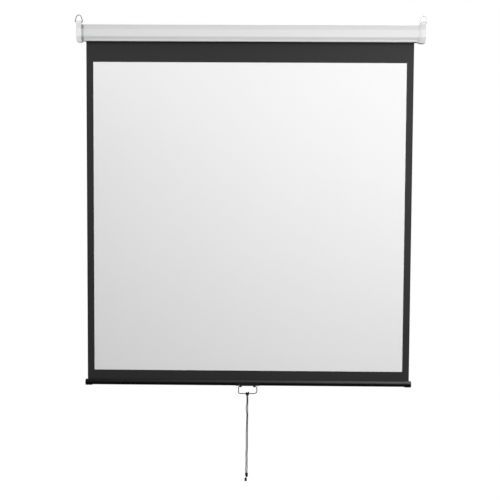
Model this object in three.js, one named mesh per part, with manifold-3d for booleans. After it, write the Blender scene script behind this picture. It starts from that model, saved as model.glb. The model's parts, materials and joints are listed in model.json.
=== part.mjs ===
// A spring-roller projection screen, pulled down to its full height.
// Millimetres. X runs along the roller, -Y faces the audience, +Z is up.
// The origin is on the casing's flat back, which goes against the wall, at its mid height and
// at the middle of the fabric. The left end carries the idler, the right end the spring and lock.

import * as THREE from "three";
import { mergeVertices } from "three/addons/utils/BufferGeometryUtils.js";
import Module from "manifold-3d";

const wasm = await Module();
wasm.setup();

// Clearances shared by all pieces
const fit = 0.3; // between two pieces that touch
const overrun = 2; // how far a cut runs past what it cuts
const joinDepth = 0.6; // how far a boss sinks into the wall that carries it

// Fabric and picture
const fabricWidth = 1500;
const fabricThickness = 0.4;
const maskThickness = 0.1;
const sideBorder = 32;
const pictureWidth = fabricWidth - sideBorder * 2;
const pictureHeight = 1425;
const leaderDrop = 90.5; // black fabric from the casing's underside to the picture
const footBand = 45; // black fabric from the picture to the batten

// Casing
const idlerMargin = 4; // casing past the fabric's left edge
const driveMargin = 13; // and past its right edge
const casingDepth = 68;
const casingHeight = 74.7;
const casingWall = 1.4;
const casingEdgeRadius = 8;
const topChamferRun = 15;
const topChamferDrop = 23;
const frontFlat = 32;
const lowChamferRun = 12;
const lowChamferDrop = 11;
const lipRun = 3;
const backChamfer = 13.35;
const backLipRun = 12;
const backLipRise = 13.35;
const mouthFlange = 5;
const portDrop = 7.2; // screw port's axis below the casing's top
const portInset = 4; // and from the nearer edge of its top face
const portRadius = 3.4;
const portBore = 2;
const portSlot = 1.6;
const portWeb = 3;

// End caps
const capRise = 6.1; // above the casing
const capFall = 5.2; // below the casing
const capProud = 3; // in front of the casing
const capBrow = 3; // its upper front edge above the casing's
const idlerNeck = 10.5; // bare neck between the casing and the left cap
const idlerShoulder = 4;
const idlerCapWidth = 19.5;
const driveShoulder = 9.5;
const driveCapWidth = 23.2;
const capDome = 6;
const capCornerRadius = 2;
const neckInset = 1;
const neckDepth = 5; // neck's front behind the casing's front
const shoulderStep = 0.6; // cap over its shoulder
const shoulderRise = 2.4;
const spigotDepth = 8;
const spigotWall = 2;
const capOuterWall = 10;
const headRecess = 3.4;

// Hanging rings and the lugs that carry them
const lugWidth = 24;
const lugInset = 7.2; // its middle from the cap's outer face
const lugStem = 14; // width of the post under its barrel
const lugRadius = 8;
const ringAxisRise = 5.75; // above the cap's top
const ringAxisY = -30;
const ringWire = 1.8; // radius
const ringWidth = 35.6;
const ringRise = 35.4; // from its axis to its outer top
const ringTipLength = 6; // wire end in the lug
const ringShares = [ // of its half width and rise, from a leg to the crown
  [1, 0.12],
  [0.99, 0.25],
  [0.94, 0.385],
  [0.85, 0.52],
  [0.745, 0.66],
  [0.6, 0.79],
  [0.36, 0.935],
];
const elbowShare = 0.29; // how far the middle of a wire's bend is cut in, of its radius

// Screws and bearing plates
const screwRadius = 1.7;
const screwClearance = 0.5;
const screwLength = 40;
const screwHeadRadius = 3.3;
const screwHeadHeight = 2.6;
const headShares = [[0, 1], [0.5, 0.87], [1, 0.5]]; // height and radius of a domed head
const driveSlotWidth = 0.9;
const driveSlotDepth = 1.2;
const plateThickness = 2;

// Roller
const rollerY = -36;
const tubeRadius = 19;
const tubeWall = 1.2;
const tubeEnd = 2; // tube past the fabric's edge
const keyWidth = 5; // groove that keys the fabric
const keyDepth = 4.5;
const splineRadius = 1.9;
const rollTurns = 2.25; // turns left on the tube when the screen is down
const rollGap = 0.45;
const plugDepth = 28;
const plugFlange = 3;
const plugLip = 1.4; // flange past the tube

// Idler end
const idlerPinRadius = 4;
const idlerPinDepth = 20;
const bushWall = 2;
const bushFlange = 1.6;
const bushFlangeRadius = 9;

// Drive end: shaft, lock and spring
const shaftRadius = 5;
const shaftInside = 52; // shaft inside the tube
const tangWidth = 8;
const tangThickness = 3.6;
const turningFit = 0.4;
const ratchetRadius = 11;
const notchDepth = 3.2;
const notchWidth = 4.9;
const notchCount = 4;
const pawlThickness = 4;
const pawlPinRadius = 1.5;
const pawlPinOrbit = 15.5;
const pawlHub = 3;
const pawlWidth = 2.8;
const pawlClear = 0.5; // arm over the ratchet when the pawl is in
const pawlAngle = 50; // degrees from its pin to its tooth
const pawlHeel = 11; // degrees of arm past the tooth
const pawlLift = 20; // degrees that it swings clear
const toothWidth = 3.4;
const toothDepth = 2.6;
const coverThickness = 1.2;
const coverBore = 7;
const mandrelRadius = 7;
const collarRadius = 10;
const collarLength = 10;
const springWire = 1.1; // radius
const springTurns = 30;
const springLength = 340;
const anchorLength = 24;
const anchorStep = 16; // mandrel past the anchor's far face

// Batten
const battenRadius = 12.75;
const battenWall = 1.5;
const battenSlot = 3;
const battenMargin = 6; // batten past the fabric's edge
const battenLength = fabricWidth + battenMargin * 2;
const hemRodRadius = 3;
const hemRodInset = 6.3; // rod's end inside the tube's end
const hemRise = 30; // double fabric above the batten
const capSleeve = 28;
const capSleeveWall = 1.1;
const capSleeveDrop = 0.65;
const capSleeveTaper = 5;
const capEndWall = 3.6;
const capEndEdge = 1.4;
const capPlugDepth = 5;
const capPlugWall = 2;
const capSlotClear = 1.5; // slot past the fabric's edge

// Handle bracket and bail
const handleMiddle = -2.2; // from the middle of the fabric
const bracketLength = 110;
const bracketWall = 1.5;
const bracketTopAngle = 22; // degrees above level, in front and behind
const bracketRivetInset = 4;
const rivetRadius = 1.3;
const rivetHeadRadius = 2.8;
const rivetHeadHeight = 1.2;
const rivetTail = 1.2;
const lugInner = 26.7; // from the middle of the handle
const lugOuter = 36.7;
const eyeWall = 1;
const webThickness = 3;
const webRise = 2; // web over the arch
const bailWire = 2.3; // radius
const eyeDrop = 4.2; // bail's axis below the batten
const bailHalf = 41.4;
const bailDrop = 33.5;
const bailTip = 7; // wire end in the lug
const bailSmallRadius = 5;
const bailLargeRadius = 13;
const bailBulge = 2.9; // how far the right leg bows out
const bowShares = [0.25, 0.33]; // of the bulge and of the drop, where that leg draws in again

// Pull cord
const cordRadius = 2;
const cordMiddle = -0.3; // along the bail's bar, from the middle of the handle
const hitchTurns = [-3, -1, 1, 3]; // its wraps round the bar, in half pitches
const hitchTallRadius = 5.3; // of the wrap that rides high
const hitchWaist = 4.2;
const hitchHip = 7.6;
const hitchDrop = 16;
const hitchShares = [[0, 1], [0.2, 0.6], [0.53, 0.24], [0.75, 0], [1, 0]]; // down it, waist to hip
const knotX = -1.8; // from the middle of the hitch
const knotRadius = 7.4;
const knotFlat = 4.6;
const knotLength = 20;
const endKnotX = -5.8;
const endKnotRadius = 6.5;
const endKnotFlat = 2.6;
const endKnotLength = 16;
const knotShares = [[0, 0], [0.25, 1], [0.5, 1], [0.75, 0.5], [1, 0]]; // down it, and from flat to full

// Numbers of steps round curves
const roundSides = 32;
const smallSides = 16;
const wireSides = 8;
const cornerSteps = 3;
const bailSteps = 54;
const ringSteps = 38;
const curlSteps = 8; // to a turn of the spring
const curlSides = 5;

// Course of the cord's two strands: X of their middle, how far each stands off from it past their
// common gap, Y of the left one and the other way for the right one, and the drop below the hitch
const course = [
  [0, 0, 0, 0],
  [0.3, 0, 0.3, 13],
  [0.3, 0, 0.6, 26],
  [-0.4, 0.3, 0.6, 36],
  [-1.7, 1, 0.5, 46],
  [-1.9, 1.1, 0.3, 55],
  [-1.1, 0.8, 0, 65],
  [-0.2, 0.1, -0.4, 74],
  [0.4, 0, -0.6, 83],
  [0.1, 0, -0.5, 95],
  [-0.3, 0.2, -0.2, 112],
  [-0.7, 0.2, 0.2, 131],
  [-1, 0.5, 0.4, 150],
  [-1.4, 0.8, 0.5, 169],
  [-1.5, 0.7, 0.4, 197],
  [-1.2, 0.7, 0, 226],
  [-1.4, 0.7, -0.3, 247],
  [-2.3, 0.5, -0.4, 264],
  [-2.5, 0.4, -0.4, 278],
  [-2, 0.7, -0.2, 297],
  [-2.3, 0.4, 0.1, 316],
  [-2.2, 0.7, 0.3, 331],
  [-2.8, 1, 0.3, 346],
  [-2.7, 0.4, 0.1, 355],
  [-2.5, 0, 0, 359.8],
];

// Route of the single end between the two knots, from the first one's underside
const tail = [
  [-2.9, 0, 0],
  [-2.9, 0, -0.7],
  [-4.3, 0.2, -2.2],
  [-5.7, 0.1, -3.6],
  [-5.7, 0, -4.3],
];
const strandSteps = 40;

// Colours and surfaces
function finish(color, roughness, metalness) {
  return new THREE.MeshStandardMaterial({ color, roughness, metalness });
}

const whitePaint = () => finish(0xe4e4e4, 0.42, 0);
const whitePlastic = () => finish(0xe8e8e8, 0.5, 0);
const whiteFabric = () => finish(0xe6e6e6, 0.85, 0);
const blackFabric = () => finish(0x2b2b2b, 0.7, 0);
const blackPaint = () => finish(0x161616, 0.35, 0);
const blackPlastic = () => finish(0x121212, 0.45, 0);
const zincSteel = () => finish(0xb4b6b8, 0.35, 0.9);
const greyWire = () => finish(0x5c5c5c, 0.4, 0.5);
const nylon = () => finish(0xd9d6cc, 0.5, 0);
const bareAluminium = () => finish(0xc4c6c8, 0.4, 0.9);
const springSteel = () => finish(0x6f7276, 0.35, 0.9);
const cordBlack = () => finish(0x1c1b1a, 0.9, 0);

// Solids: a closed geometry becomes a solid with its faces pointing out
const mergeDistance = 1e-4;

function solidOf(geometry) {
  const bare = geometry.clone();
  bare.deleteAttribute("normal");
  bare.deleteAttribute("uv");
  const merged = mergeVertices(bare, mergeDistance);
  const vertProperties = new Float32Array(merged.getAttribute("position").array);
  const corners = merged.index.array;
  const faces = [];
  for (let i = 0; i < corners.length; i += 3) {
    const [a, b, c] = corners.subarray(i, i + 3);
    if (a !== b && b !== c && c !== a) faces.push([a, b, c]);
  }
  const made = (list) => new wasm.Manifold(new wasm.Mesh({
    numProp: 3,
    vertProperties,
    triVerts: new Uint32Array(list.flat()),
  }));
  const solid = made(faces);
  return solid.volume() > 0 ? solid : made(faces.map(([a, b, c]) => [a, c, b]));
}

function geometryOf(solid) {
  const mesh = solid.getMesh();
  const geometry = new THREE.BufferGeometry();
  geometry.setAttribute("position", new THREE.BufferAttribute(new Float32Array(mesh.vertProperties), 3));
  geometry.setIndex(new THREE.BufferAttribute(new Uint32Array(mesh.triVerts), 1));
  const flat = geometry.toNonIndexed();
  flat.computeVertexNormals();
  return flat;
}

const joined = (...solids) => solids.reduce((whole, next) => whole.add(next));
const cutBy = (solid, ...cuts) => cuts.reduce((left, cut) => left.subtract(cut), solid);

// Outlines are lists of points, counter-clockwise
const fullTurn = 360;
const quarterTurn = fullTurn / 4;
const point = (x, y) => new THREE.Vector2(x, y);
const radians = (degrees) => THREE.MathUtils.degToRad(degrees);

function arc(x, y, radius, from, to, steps) {
  const points = [];
  for (let i = 0; i <= steps; i++) {
    const turn = radians(from + ((to - from) * i) / steps);
    points.push(point(x + radius * Math.cos(turn), y + radius * Math.sin(turn)));
  }
  return points;
}

// A round section whose flats lie square to the axes
function circle(radius, sides = roundSides, x = 0, y = 0) {
  const half = fullTurn / sides / 2;
  return arc(x, y, radius, half, fullTurn - half, sides - 1);
}

// The outline with each side moved inwards
function inset(points, distance) {
  return points.map((corner, i) => {
    const before = corner.clone().sub(points.at(i - 1)).normalize();
    const after = points[(i + 1) % points.length].clone().sub(corner).normalize();
    const inward = point(-before.y, before.x).add(point(-after.y, after.x));
    return corner.clone().addScaledVector(inward, distance / (1 + before.dot(after)));
  });
}

// The outline with each corner rounded
function rounded(points, radius, steps = cornerSteps) {
  return points.flatMap((corner, i) => {
    const before = points.at(i - 1).clone().sub(corner);
    const after = points[(i + 1) % points.length].clone().sub(corner);
    const half = before.angleTo(after) / 2;
    const reach = Math.min(radius / Math.tan(half), before.length() / 2, after.length() / 2);
    const start = corner.clone().add(before.setLength(reach));
    const end = corner.clone().add(after.setLength(reach));
    const curve = new THREE.QuadraticBezierCurve(start, corner, end);
    return curve.getPoints(steps);
  });
}

// Outlines in the Y-Z plane run along X, and outlines in the X-Z plane run along Y
const alongX = new THREE.Matrix4().makeBasis(
  new THREE.Vector3(0, 1, 0),
  new THREE.Vector3(0, 0, 1),
  new THREE.Vector3(1, 0, 0),
);
const alongY = new THREE.Matrix4().makeBasis(
  new THREE.Vector3(1, 0, 0),
  new THREE.Vector3(0, 0, 1),
  new THREE.Vector3(0, -1, 0),
);

function bar(outline, depth, matrix) {
  const geometry = new THREE.ExtrudeGeometry(new THREE.Shape(outline), { depth, bevelEnabled: false });
  return geometry.applyMatrix4(matrix);
}

const barX = (outline, from, to) => solidOf(bar(outline, to - from, alongX).translate(from, 0, 0));
const barY = (outline, from, to) => solidOf(bar(outline, to - from, alongY).translate(0, to, 0));

function block(from, to) {
  const size = to.map((high, i) => high - from[i]);
  const middle = to.map((high, i) => (high + from[i]) / 2);
  return solidOf(new THREE.BoxGeometry(...size).translate(...middle));
}

const rodX = (radius, from, to, sides, y, z) => barX(circle(radius, sides, y, z), from, to);

// A turned piece on the X axis: its profile is a list of [x, radius]
function turnedX(profile, sides) {
  const points = profile.map(([x, radius]) => point(radius, x));
  return solidOf(new THREE.LatheGeometry(points, sides).rotateZ(-Math.PI / 2));
}

// A turned piece on the Z axis: its profile is a list of [z, radius]
function turnedZ(profile, sides) {
  const points = profile.map(([z, radius]) => point(radius, z));
  return solidOf(new THREE.LatheGeometry(points, sides).rotateX(Math.PI / 2));
}

function wireAlong(curve, radius, sides, steps) {
  const section = new THREE.Shape(circle(radius, sides));
  return solidOf(new THREE.ExtrudeGeometry(section, { extrudePath: curve, steps }));
}

function smoothLine(points) {
  return new THREE.CatmullRomCurve3(points.map((p) => new THREE.Vector3(...p)), false, "centripetal");
}

// The least gap between the turns of a winding whose line is given, half a turn or more apart
function leastGap(points, halfTurn, thickness) {
  let least = Infinity;
  for (let i = 0; i < points.length; i++) {
    for (let j = i + halfTurn; j < points.length; j++) {
      least = Math.min(least, points[i].distanceTo(points[j]) - thickness);
    }
  }
  return least;
}

const root = new THREE.Group();

function piece(name, solid, material, parent = root) {
  const mesh = new THREE.Mesh(geometryOf(solid), material);
  mesh.name = name;
  parent.add(mesh);
}

function group(parent, x, y, z) {
  const made = new THREE.Group();
  made.position.set(x, y, z);
  parent.add(made);
  return made;
}

// Casing section, from the back's upper edge over the top and the front to the underside
const casingTop = casingHeight / 2;
const topFrontY = topChamferRun - casingDepth;
const frontTopZ = casingTop - topChamferDrop;
const frontLowZ = frontTopZ - frontFlat;
const lipTopY = lowChamferRun - casingDepth;
const lipTopZ = frontLowZ - lowChamferDrop;
const lipLowY = lipTopY + lipRun;
const casingOutline = [
  point(0, casingTop - backChamfer),
  point(-backChamfer, casingTop),
  point(topFrontY, casingTop),
  point(-casingDepth, frontTopZ),
  point(-casingDepth, frontLowZ),
  point(lipTopY, lipTopZ),
  point(lipLowY, -casingTop),
  point(-backLipRun, -casingTop),
  point(0, backLipRise - casingTop),
];
const mouthFrontY = lipLowY + mouthFlange;
const mouthBackY = -backLipRun - casingWall;
const portZ = casingTop - portDrop;
const ports = [point(topFrontY + portInset, portZ), point(-backChamfer - portInset, portZ)];

// A screw port hangs from the casing's top wall on a web
function portSolid(port, from, to, clearance) {
  const web = block(
    [from, port.x - portWeb / 2 - clearance, port.y],
    [to, port.x + portWeb / 2 + clearance, casingTop - casingWall + joinDepth],
  );
  return joined(rodX(portRadius + clearance, from, to, smallSides, port.x, port.y), web);
}

function mouthCut(from, to, ceiling) {
  return block([from, mouthFrontY, -casingTop - overrun], [to, mouthBackY, ceiling]);
}

function makeCasing(from, to) {
  const inner = rounded(inset(casingOutline, casingWall), casingEdgeRadius - casingWall);
  const shell = cutBy(
    barX(rounded(casingOutline, casingEdgeRadius), from, to),
    barX(inner, from - overrun, to + overrun),
  );
  const bosses = ports.map((port) => portSolid(port, from, to, 0));
  const bores = ports.map((port) => (
    rodX(portBore, from - overrun, to + overrun, smallSides, port.x, port.y)
  ));
  const slots = ports.map((port) => block(
    [from - overrun, port.x - portSlot / 2, port.y - portRadius - overrun],
    [to + overrun, port.x + portSlot / 2, port.y],
  ));
  const mouth = mouthCut(from - overrun, to + overrun, -casingTop + casingWall + overrun);
  return cutBy(joined(shell, ...bosses), ...bores, ...slots, mouth);
}

piece("casing", makeCasing(-fabricWidth / 2 - idlerMargin, fabricWidth / 2 + driveMargin), whitePaint());

// Places along X at one end of the screen, drawn for the right end
function endPlaces(margin, neckLength, shoulder, width) {
  const casingEnd = fabricWidth / 2 + margin;
  const neckEnd = casingEnd + neckLength;
  const flangeStart = neckEnd + shoulder;
  const capOuter = flangeStart + width;
  const pocketEnd = capOuter - capOuterWall;
  return {
    casingEnd,
    shoulder,
    flangeStart,
    capOuter,
    pocketEnd,
    plateInner: pocketEnd - plateThickness,
    lugMiddle: capOuter - lugInset,
    screwSeat: capOuter - headRecess,
  };
}

const idler = endPlaces(idlerMargin, idlerNeck, idlerShoulder, idlerCapWidth);
const drive = endPlaces(driveMargin, fit, driveShoulder, driveCapWidth);

// End caps: a dome, a shoulder that slopes to the casing, and a neck with a spigot that fits into it
const capTop = casingTop + capRise;
const capOutline = [
  point(0, casingTop - backChamfer + capRise),
  point(-backChamfer, capTop),
  point(topFrontY, capTop),
  point(-casingDepth - capProud, frontTopZ + capBrow),
  point(-casingDepth - capProud, frontLowZ),
  point(lipLowY, -casingTop - capFall),
  point(-backLipRun, -casingTop - capFall),
  point(0, backLipRise - casingTop - capFall),
];
const spigotOutline = inset(casingOutline, casingWall + fit);
const neckOutline = inset(casingOutline, neckInset).map(({ x, y }) => (
  point(Math.max(x, neckDepth - casingDepth), y)
));
const pocketOutline = inset(neckOutline, spigotWall);
const ringAxisZ = capTop + ringAxisRise;

function capFlange({ flangeStart, capOuter }) {
  const outline = new THREE.Shape(rounded(inset(capOutline, capDome), capCornerRadius));
  const domed = new THREE.ExtrudeGeometry(outline, {
    depth: capOuter - flangeStart - capDome,
    bevelSize: capDome,
    bevelThickness: capDome,
    bevelSegments: cornerSteps + 1,
  });
  domed.applyMatrix4(alongX).translate(flangeStart, 0, 0);
  const inboard = block(
    [flangeStart - capDome - overrun, -casingDepth - capProud - overrun, -capTop - capFall],
    [flangeStart, overrun, capTop + overrun],
  );
  return cutBy(solidOf(domed), inboard);
}

function capShoulder({ flangeStart, shoulder }) {
  const outline = inset(capOutline, shoulderStep + shoulderRise);
  const bevelled = new THREE.ExtrudeGeometry(new THREE.Shape(rounded(outline, capCornerRadius)), {
    depth: joinDepth,
    bevelSize: shoulderRise,
    bevelThickness: shoulder,
    bevelSegments: 1,
  });
  bevelled.applyMatrix4(alongX).translate(flangeStart, 0, 0);
  return solidOf(bevelled);
}

function capLug({ lugMiddle }) {
  const base = capTop - capDome;
  const barrel = rodX(
    lugRadius, lugMiddle - lugWidth / 2, lugMiddle + lugWidth / 2, roundSides, ringAxisY, ringAxisZ,
  );
  const stem = block(
    [lugMiddle - lugStem / 2, ringAxisY - lugRadius, base],
    [lugMiddle + lugStem / 2, ringAxisY + lugRadius, ringAxisZ],
  );
  return joined(barrel, stem);
}

function makeCap(end) {
  const { casingEnd, flangeStart, capOuter, pocketEnd, lugMiddle, screwSeat } = end;
  const neckStart = casingEnd + fit;
  const neck = barX(rounded(neckOutline, casingEdgeRadius), neckStart, flangeStart + joinDepth);
  const spigotStart = casingEnd - spigotDepth;
  const spigot = cutBy(
    barX(rounded(spigotOutline, casingEdgeRadius), spigotStart, neckStart + joinDepth),
    mouthCut(spigotStart - overrun, casingEnd, lipTopZ),
    ...ports.map((port) => portSolid(port, spigotStart - overrun, neckStart, fit)),
  );
  const body = joined(capFlange(end), capShoulder(end), neck, spigot, capLug(end));
  const pocket = barX(rounded(pocketOutline, casingEdgeRadius), spigotStart - overrun, pocketEnd);
  const holes = ports.flatMap((port) => [
    rodX(screwRadius + screwClearance, pocketEnd - overrun, capOuter + overrun, smallSides, port.x, port.y),
    rodX(screwHeadRadius + screwClearance, screwSeat, capOuter + overrun, smallSides, port.x, port.y),
  ]);
  const eye = rodX(
    ringWire + fit, lugMiddle - lugWidth, lugMiddle + lugWidth, smallSides, ringAxisY, ringAxisZ,
  );
  return cutBy(body, pocket, ...holes, eye);
}

// A domed head on a flat seat, as a profile of places and radii
const headProfile = (seat, height, radius) => [
  [seat, 0],
  ...headShares.map(([up, out]) => [seat + height * up, radius * out]),
  [seat + height, 0],
];

function makeScrew({ screwSeat }, port) {
  const shaft = rodX(screwRadius, screwSeat - screwLength, screwSeat + fit / 2, smallSides, port.x, port.y);
  const profile = headProfile(screwSeat, screwHeadHeight, screwHeadRadius);
  const head = turnedX(profile, smallSides).translate([0, port.x, port.y]);
  const slotFloor = screwSeat + screwHeadHeight - driveSlotDepth;
  const slot = (halfY, halfZ) => block(
    [slotFloor, port.x - halfY, port.y - halfZ],
    [screwSeat + screwHeadHeight + overrun, port.x + halfY, port.y + halfZ],
  );
  const reach = screwHeadRadius / 2;
  return cutBy(joined(shaft, head), slot(reach, driveSlotWidth / 2), slot(driveSlotWidth / 2, reach));
}

// The ring is drawn from its axis: wire ends turned into the lug, and a round-topped arch above
function makeRing() {
  const side = ringWidth / 2 - ringWire;
  const top = ringRise - ringWire;
  const lugHalf = lugWidth / 2;
  const bend = side - lugHalf - fit;
  const half = [
    [lugHalf - ringTipLength, 0],
    [lugHalf - fit, 0],
    [lugHalf + fit, 0],
    [side - bend * elbowShare, bend * elbowShare],
    ...ringShares.map(([out, up]) => [side * out, top * up]),
  ];
  const right = half.map(([x, z]) => [x, 0, z]);
  const left = half.map(([x, z]) => [-x, 0, z]).reverse();
  return wireAlong(smoothLine([...right, [0, 0, top], ...left]), ringWire, wireSides, ringSteps);
}

function plateBlank({ plateInner, pocketEnd }) {
  const holes = ports.map((port) => (
    rodX(screwRadius + screwClearance, plateInner - overrun, pocketEnd + overrun, smallSides, port.x, port.y)
  ));
  return cutBy(barX(rounded(inset(pocketOutline, fit), casingEdgeRadius), plateInner, pocketEnd), ...holes);
}

const leftEnd = group(root, 0, 0, 0);
leftEnd.scale.x = -1;
const rightEnd = group(root, 0, 0, 0);
for (const [name, parent, end] of [["left", leftEnd, idler], ["right", rightEnd, drive]]) {
  piece(`${name}_end_cap`, makeCap(end), whitePlastic(), parent);
  piece(`${name}_hanging_ring`, makeRing(), zincSteel(), group(parent, end.lugMiddle, ringAxisY, ringAxisZ));
  piece(`cap_screw_${name}_front`, makeScrew(end, ports[0]), zincSteel(), parent);
  piece(`cap_screw_${name}_back`, makeScrew(end, ports[1]), zincSteel(), parent);
}

// Roller: drawn about its own axis
const tubeHalf = fabricWidth / 2 + tubeEnd;
const tubeInner = tubeRadius - tubeWall;
const plugRadius = tubeInner - fit;
const flangeEnd = tubeHalf + plugFlange;
const roller = group(root, 0, rollerY, 0);
const idlerEnd = group(roller, 0, 0, 0);
idlerEnd.scale.x = -1;

const keyPost = (half, floor, from, to) => block([from, -half, floor], [to, half, tubeRadius + overrun]);

function makeTube() {
  const wall = keyWidth / 2 + tubeWall;
  const floor = tubeRadius - keyDepth;
  const shell = cutBy(
    rodX(tubeRadius, -tubeHalf, tubeHalf),
    rodX(tubeInner, -tubeHalf - overrun, tubeHalf + overrun),
  );
  const trough = block([-tubeHalf, -wall, floor - tubeWall], [tubeHalf, wall, tubeInner + joinDepth]);
  return cutBy(joined(shell, trough), keyPost(keyWidth / 2, floor, -tubeHalf - overrun, tubeHalf + overrun));
}

const keyCut = (from, to) => (
  keyPost(keyWidth / 2 + tubeWall + fit, tubeRadius - keyDepth - tubeWall - fit, from - overrun, to)
);

// The fabric on the tube is one strip, wound from the groove to where it leaves for the picture
const rollStart = tubeRadius + fit;
const rollPitch = fabricThickness + rollGap;
const rollEnd = rollStart + rollTurns * rollPitch;
const fabricY = rollerY + rollEnd + fabricThickness / 2;

function spiral(offset) {
  const steps = Math.round(rollTurns * roundSides);
  const points = [];
  for (let i = 0; i <= steps; i++) {
    const turns = (rollTurns * i) / steps;
    const radius = rollEnd - rollPitch * turns + offset;
    points.push(point(radius * Math.cos(turns * 2 * Math.PI), radius * Math.sin(turns * 2 * Math.PI)));
  }
  return points;
}

function makeRoll() {
  const gap = leastGap(spiral(0), roundSides / 2, fabricThickness);
  console.log(`fabric roll, least gap: ${gap.toFixed(2)} mm`);
  return barX([...spiral(fabricThickness), ...spiral(0).reverse()], -fabricWidth / 2, fabricWidth / 2);
}

piece("roller_tube", makeTube(), bareAluminium(), roller);
piece("fabric_roll", makeRoll(), blackFabric(), roller);
const splineZ = tubeRadius - keyDepth + splineRadius + fit;
piece("fabric_spline", rodX(splineRadius, -tubeHalf, tubeHalf, smallSides, 0, splineZ), nylon(), roller);

function plugBlank(depth, from = tubeHalf - depth) {
  const body = rodX(plugRadius, from, tubeHalf);
  return cutBy(body, keyCut(from, tubeHalf));
}

function makeIdlerPlug() {
  const flange = rodX(tubeRadius + plugLip, tubeHalf, flangeEnd);
  const hole = rodX(idlerPinRadius + fit, flangeEnd - idlerPinDepth - fit, flangeEnd + overrun, smallSides);
  return cutBy(joined(plugBlank(plugDepth), flange), hole);
}

const bushBore = idlerPinRadius + fit;
const bushRadius = bushBore + bushWall;
const bushInner = idler.plateInner - fit - bushFlange;
piece("idler_plug", makeIdlerPlug(), blackPlastic(), idlerEnd);
const idlerPin = rodX(idlerPinRadius, flangeEnd - idlerPinDepth, idler.pocketEnd - fit, smallSides);
piece("idler_pin", idlerPin, zincSteel(), idlerEnd);

const idlerHousing = group(leftEnd, 0, rollerY, 0);

function makeBush() {
  const flange = rodX(bushFlangeRadius, bushInner, idler.plateInner - fit);
  const sleeve = rodX(bushRadius, bushInner, idler.pocketEnd);
  return cutBy(joined(flange, sleeve), rodX(bushBore, bushInner - overrun, idler.pocketEnd + overrun));
}

const throughPlate = (end, outline) => barX(outline, end.plateInner - overrun, end.pocketEnd + overrun);
piece("idler_bush", makeBush(), nylon(), idlerHousing);
piece(
  "idler_plate",
  cutBy(plateBlank(idler), throughPlate(idler, circle(bushRadius + fit, roundSides, rollerY))),
  zincSteel(),
  leftEnd,
);

// Drive end: the shaft is fixed in the tang plate, and the plug turns round it
const rectangle = (halfX, halfY, x = 0, y = 0) => [
  point(x - halfX, y - halfY),
  point(x + halfX, y - halfY),
  point(x + halfX, y + halfY),
  point(x - halfX, y + halfY),
];
const tangSlot = rectangle(tangThickness / 2 + fit, tangWidth / 2 + fit, rollerY);
piece("tang_plate", cutBy(plateBlank(drive), throughPlate(drive, tangSlot)), zincSteel(), rightEnd);

const driveHousing = group(rightEnd, 0, rollerY, 0);
const shaftStart = tubeHalf - shaftInside;
const pawlStart = flangeEnd + fit;
const pawlEnd = pawlStart + pawlThickness;
const coverStart = pawlEnd + fit;
const coverEnd = coverStart + coverThickness;
const toothTurn = quarterTurn + pawlAngle;

function radialBlock(angle, inner, outer, width) {
  const outline = rectangle((outer - inner) / 2, width / 2, (inner + outer) / 2);
  return outline.map((corner) => corner.rotateAround(point(0, 0), radians(angle)));
}

function makeShaft() {
  const { plateInner, pocketEnd } = drive;
  const round = rodX(shaftRadius, shaftStart, plateInner - fit);
  const tang = barX(rectangle(tangThickness / 2, tangWidth / 2), plateInner - fit - joinDepth, pocketEnd);
  return joined(round, tang);
}

function makeRatchet() {
  const notches = Array.from({ length: notchCount }, (_, i) => {
    const angle = toothTurn + (fullTurn * i) / notchCount;
    const outline = radialBlock(angle, ratchetRadius - notchDepth, ratchetRadius + overrun, notchWidth);
    return barX(outline, pawlStart - overrun, pawlEnd + overrun);
  });
  const bore = rodX(shaftRadius + fit, pawlStart - overrun, pawlEnd + overrun);
  return cutBy(rodX(ratchetRadius, pawlStart, pawlEnd), bore, ...notches);
}

const springEnd = shaftStart - collarLength - fit;
const springStart = springEnd - springLength;
const anchorEnd = springStart - fit;
const anchorStart = anchorEnd - anchorLength;

class Helix extends THREE.Curve {
  getPoint(share, target = new THREE.Vector3()) {
    const turn = share * springTurns * 2 * Math.PI;
    const radius = (mandrelRadius + fit + springWire) / Math.cos(Math.PI / curlSteps);
    const x = springStart + springWire + (springLength - springWire * 2) * share;
    return target.set(x, radius * Math.cos(turn), radius * Math.sin(turn));
  }
}

function makeSpring() {
  const steps = springTurns * curlSteps;
  const gap = leastGap(new Helix().getPoints(steps), curlSteps / 2, springWire * 2);
  console.log(`torsion spring, least gap: ${gap.toFixed(2)} mm`);
  return wireAlong(new Helix(), springWire, curlSides, steps);
}

function makeMandrel() {
  const rod = rodX(mandrelRadius, anchorStart - anchorStep, shaftStart);
  return joined(rod, rodX(collarRadius, shaftStart - collarLength, shaftStart));
}

piece("tang_shaft", makeShaft(), zincSteel(), driveHousing);
piece("lock_ratchet", makeRatchet(), zincSteel(), driveHousing);
piece("spring_mandrel", makeMandrel(), nylon(), driveHousing);
piece("torsion_spring", makeSpring(), springSteel(), driveHousing);

function pinCuts(from, to) {
  return [1, -1].map((side) => rodX(pawlPinRadius + fit, from, to, smallSides, 0, side * pawlPinOrbit));
}

function makeDrivePlug() {
  const whole = joined(plugBlank(plugDepth), rodX(tubeRadius + plugLip, tubeHalf, flangeEnd));
  const bore = rodX(shaftRadius + turningFit, tubeHalf - plugDepth - overrun, flangeEnd + overrun);
  return cutBy(whole, bore, ...pinCuts(tubeHalf, flangeEnd + overrun));
}

function makeAnchor() {
  const body = cutBy(rodX(plugRadius, anchorStart, anchorEnd), keyCut(anchorStart, anchorEnd + overrun));
  return cutBy(body, rodX(mandrelRadius + turningFit, anchorStart - overrun, anchorEnd + overrun));
}

function makeCover() {
  const disc = rodX(pawlPinOrbit + pawlHub, coverStart, coverEnd);
  const bore = rodX(coverBore, coverStart - overrun, coverEnd + overrun);
  return cutBy(disc, bore, ...pinCuts(coverStart - overrun, coverEnd + overrun));
}

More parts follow.
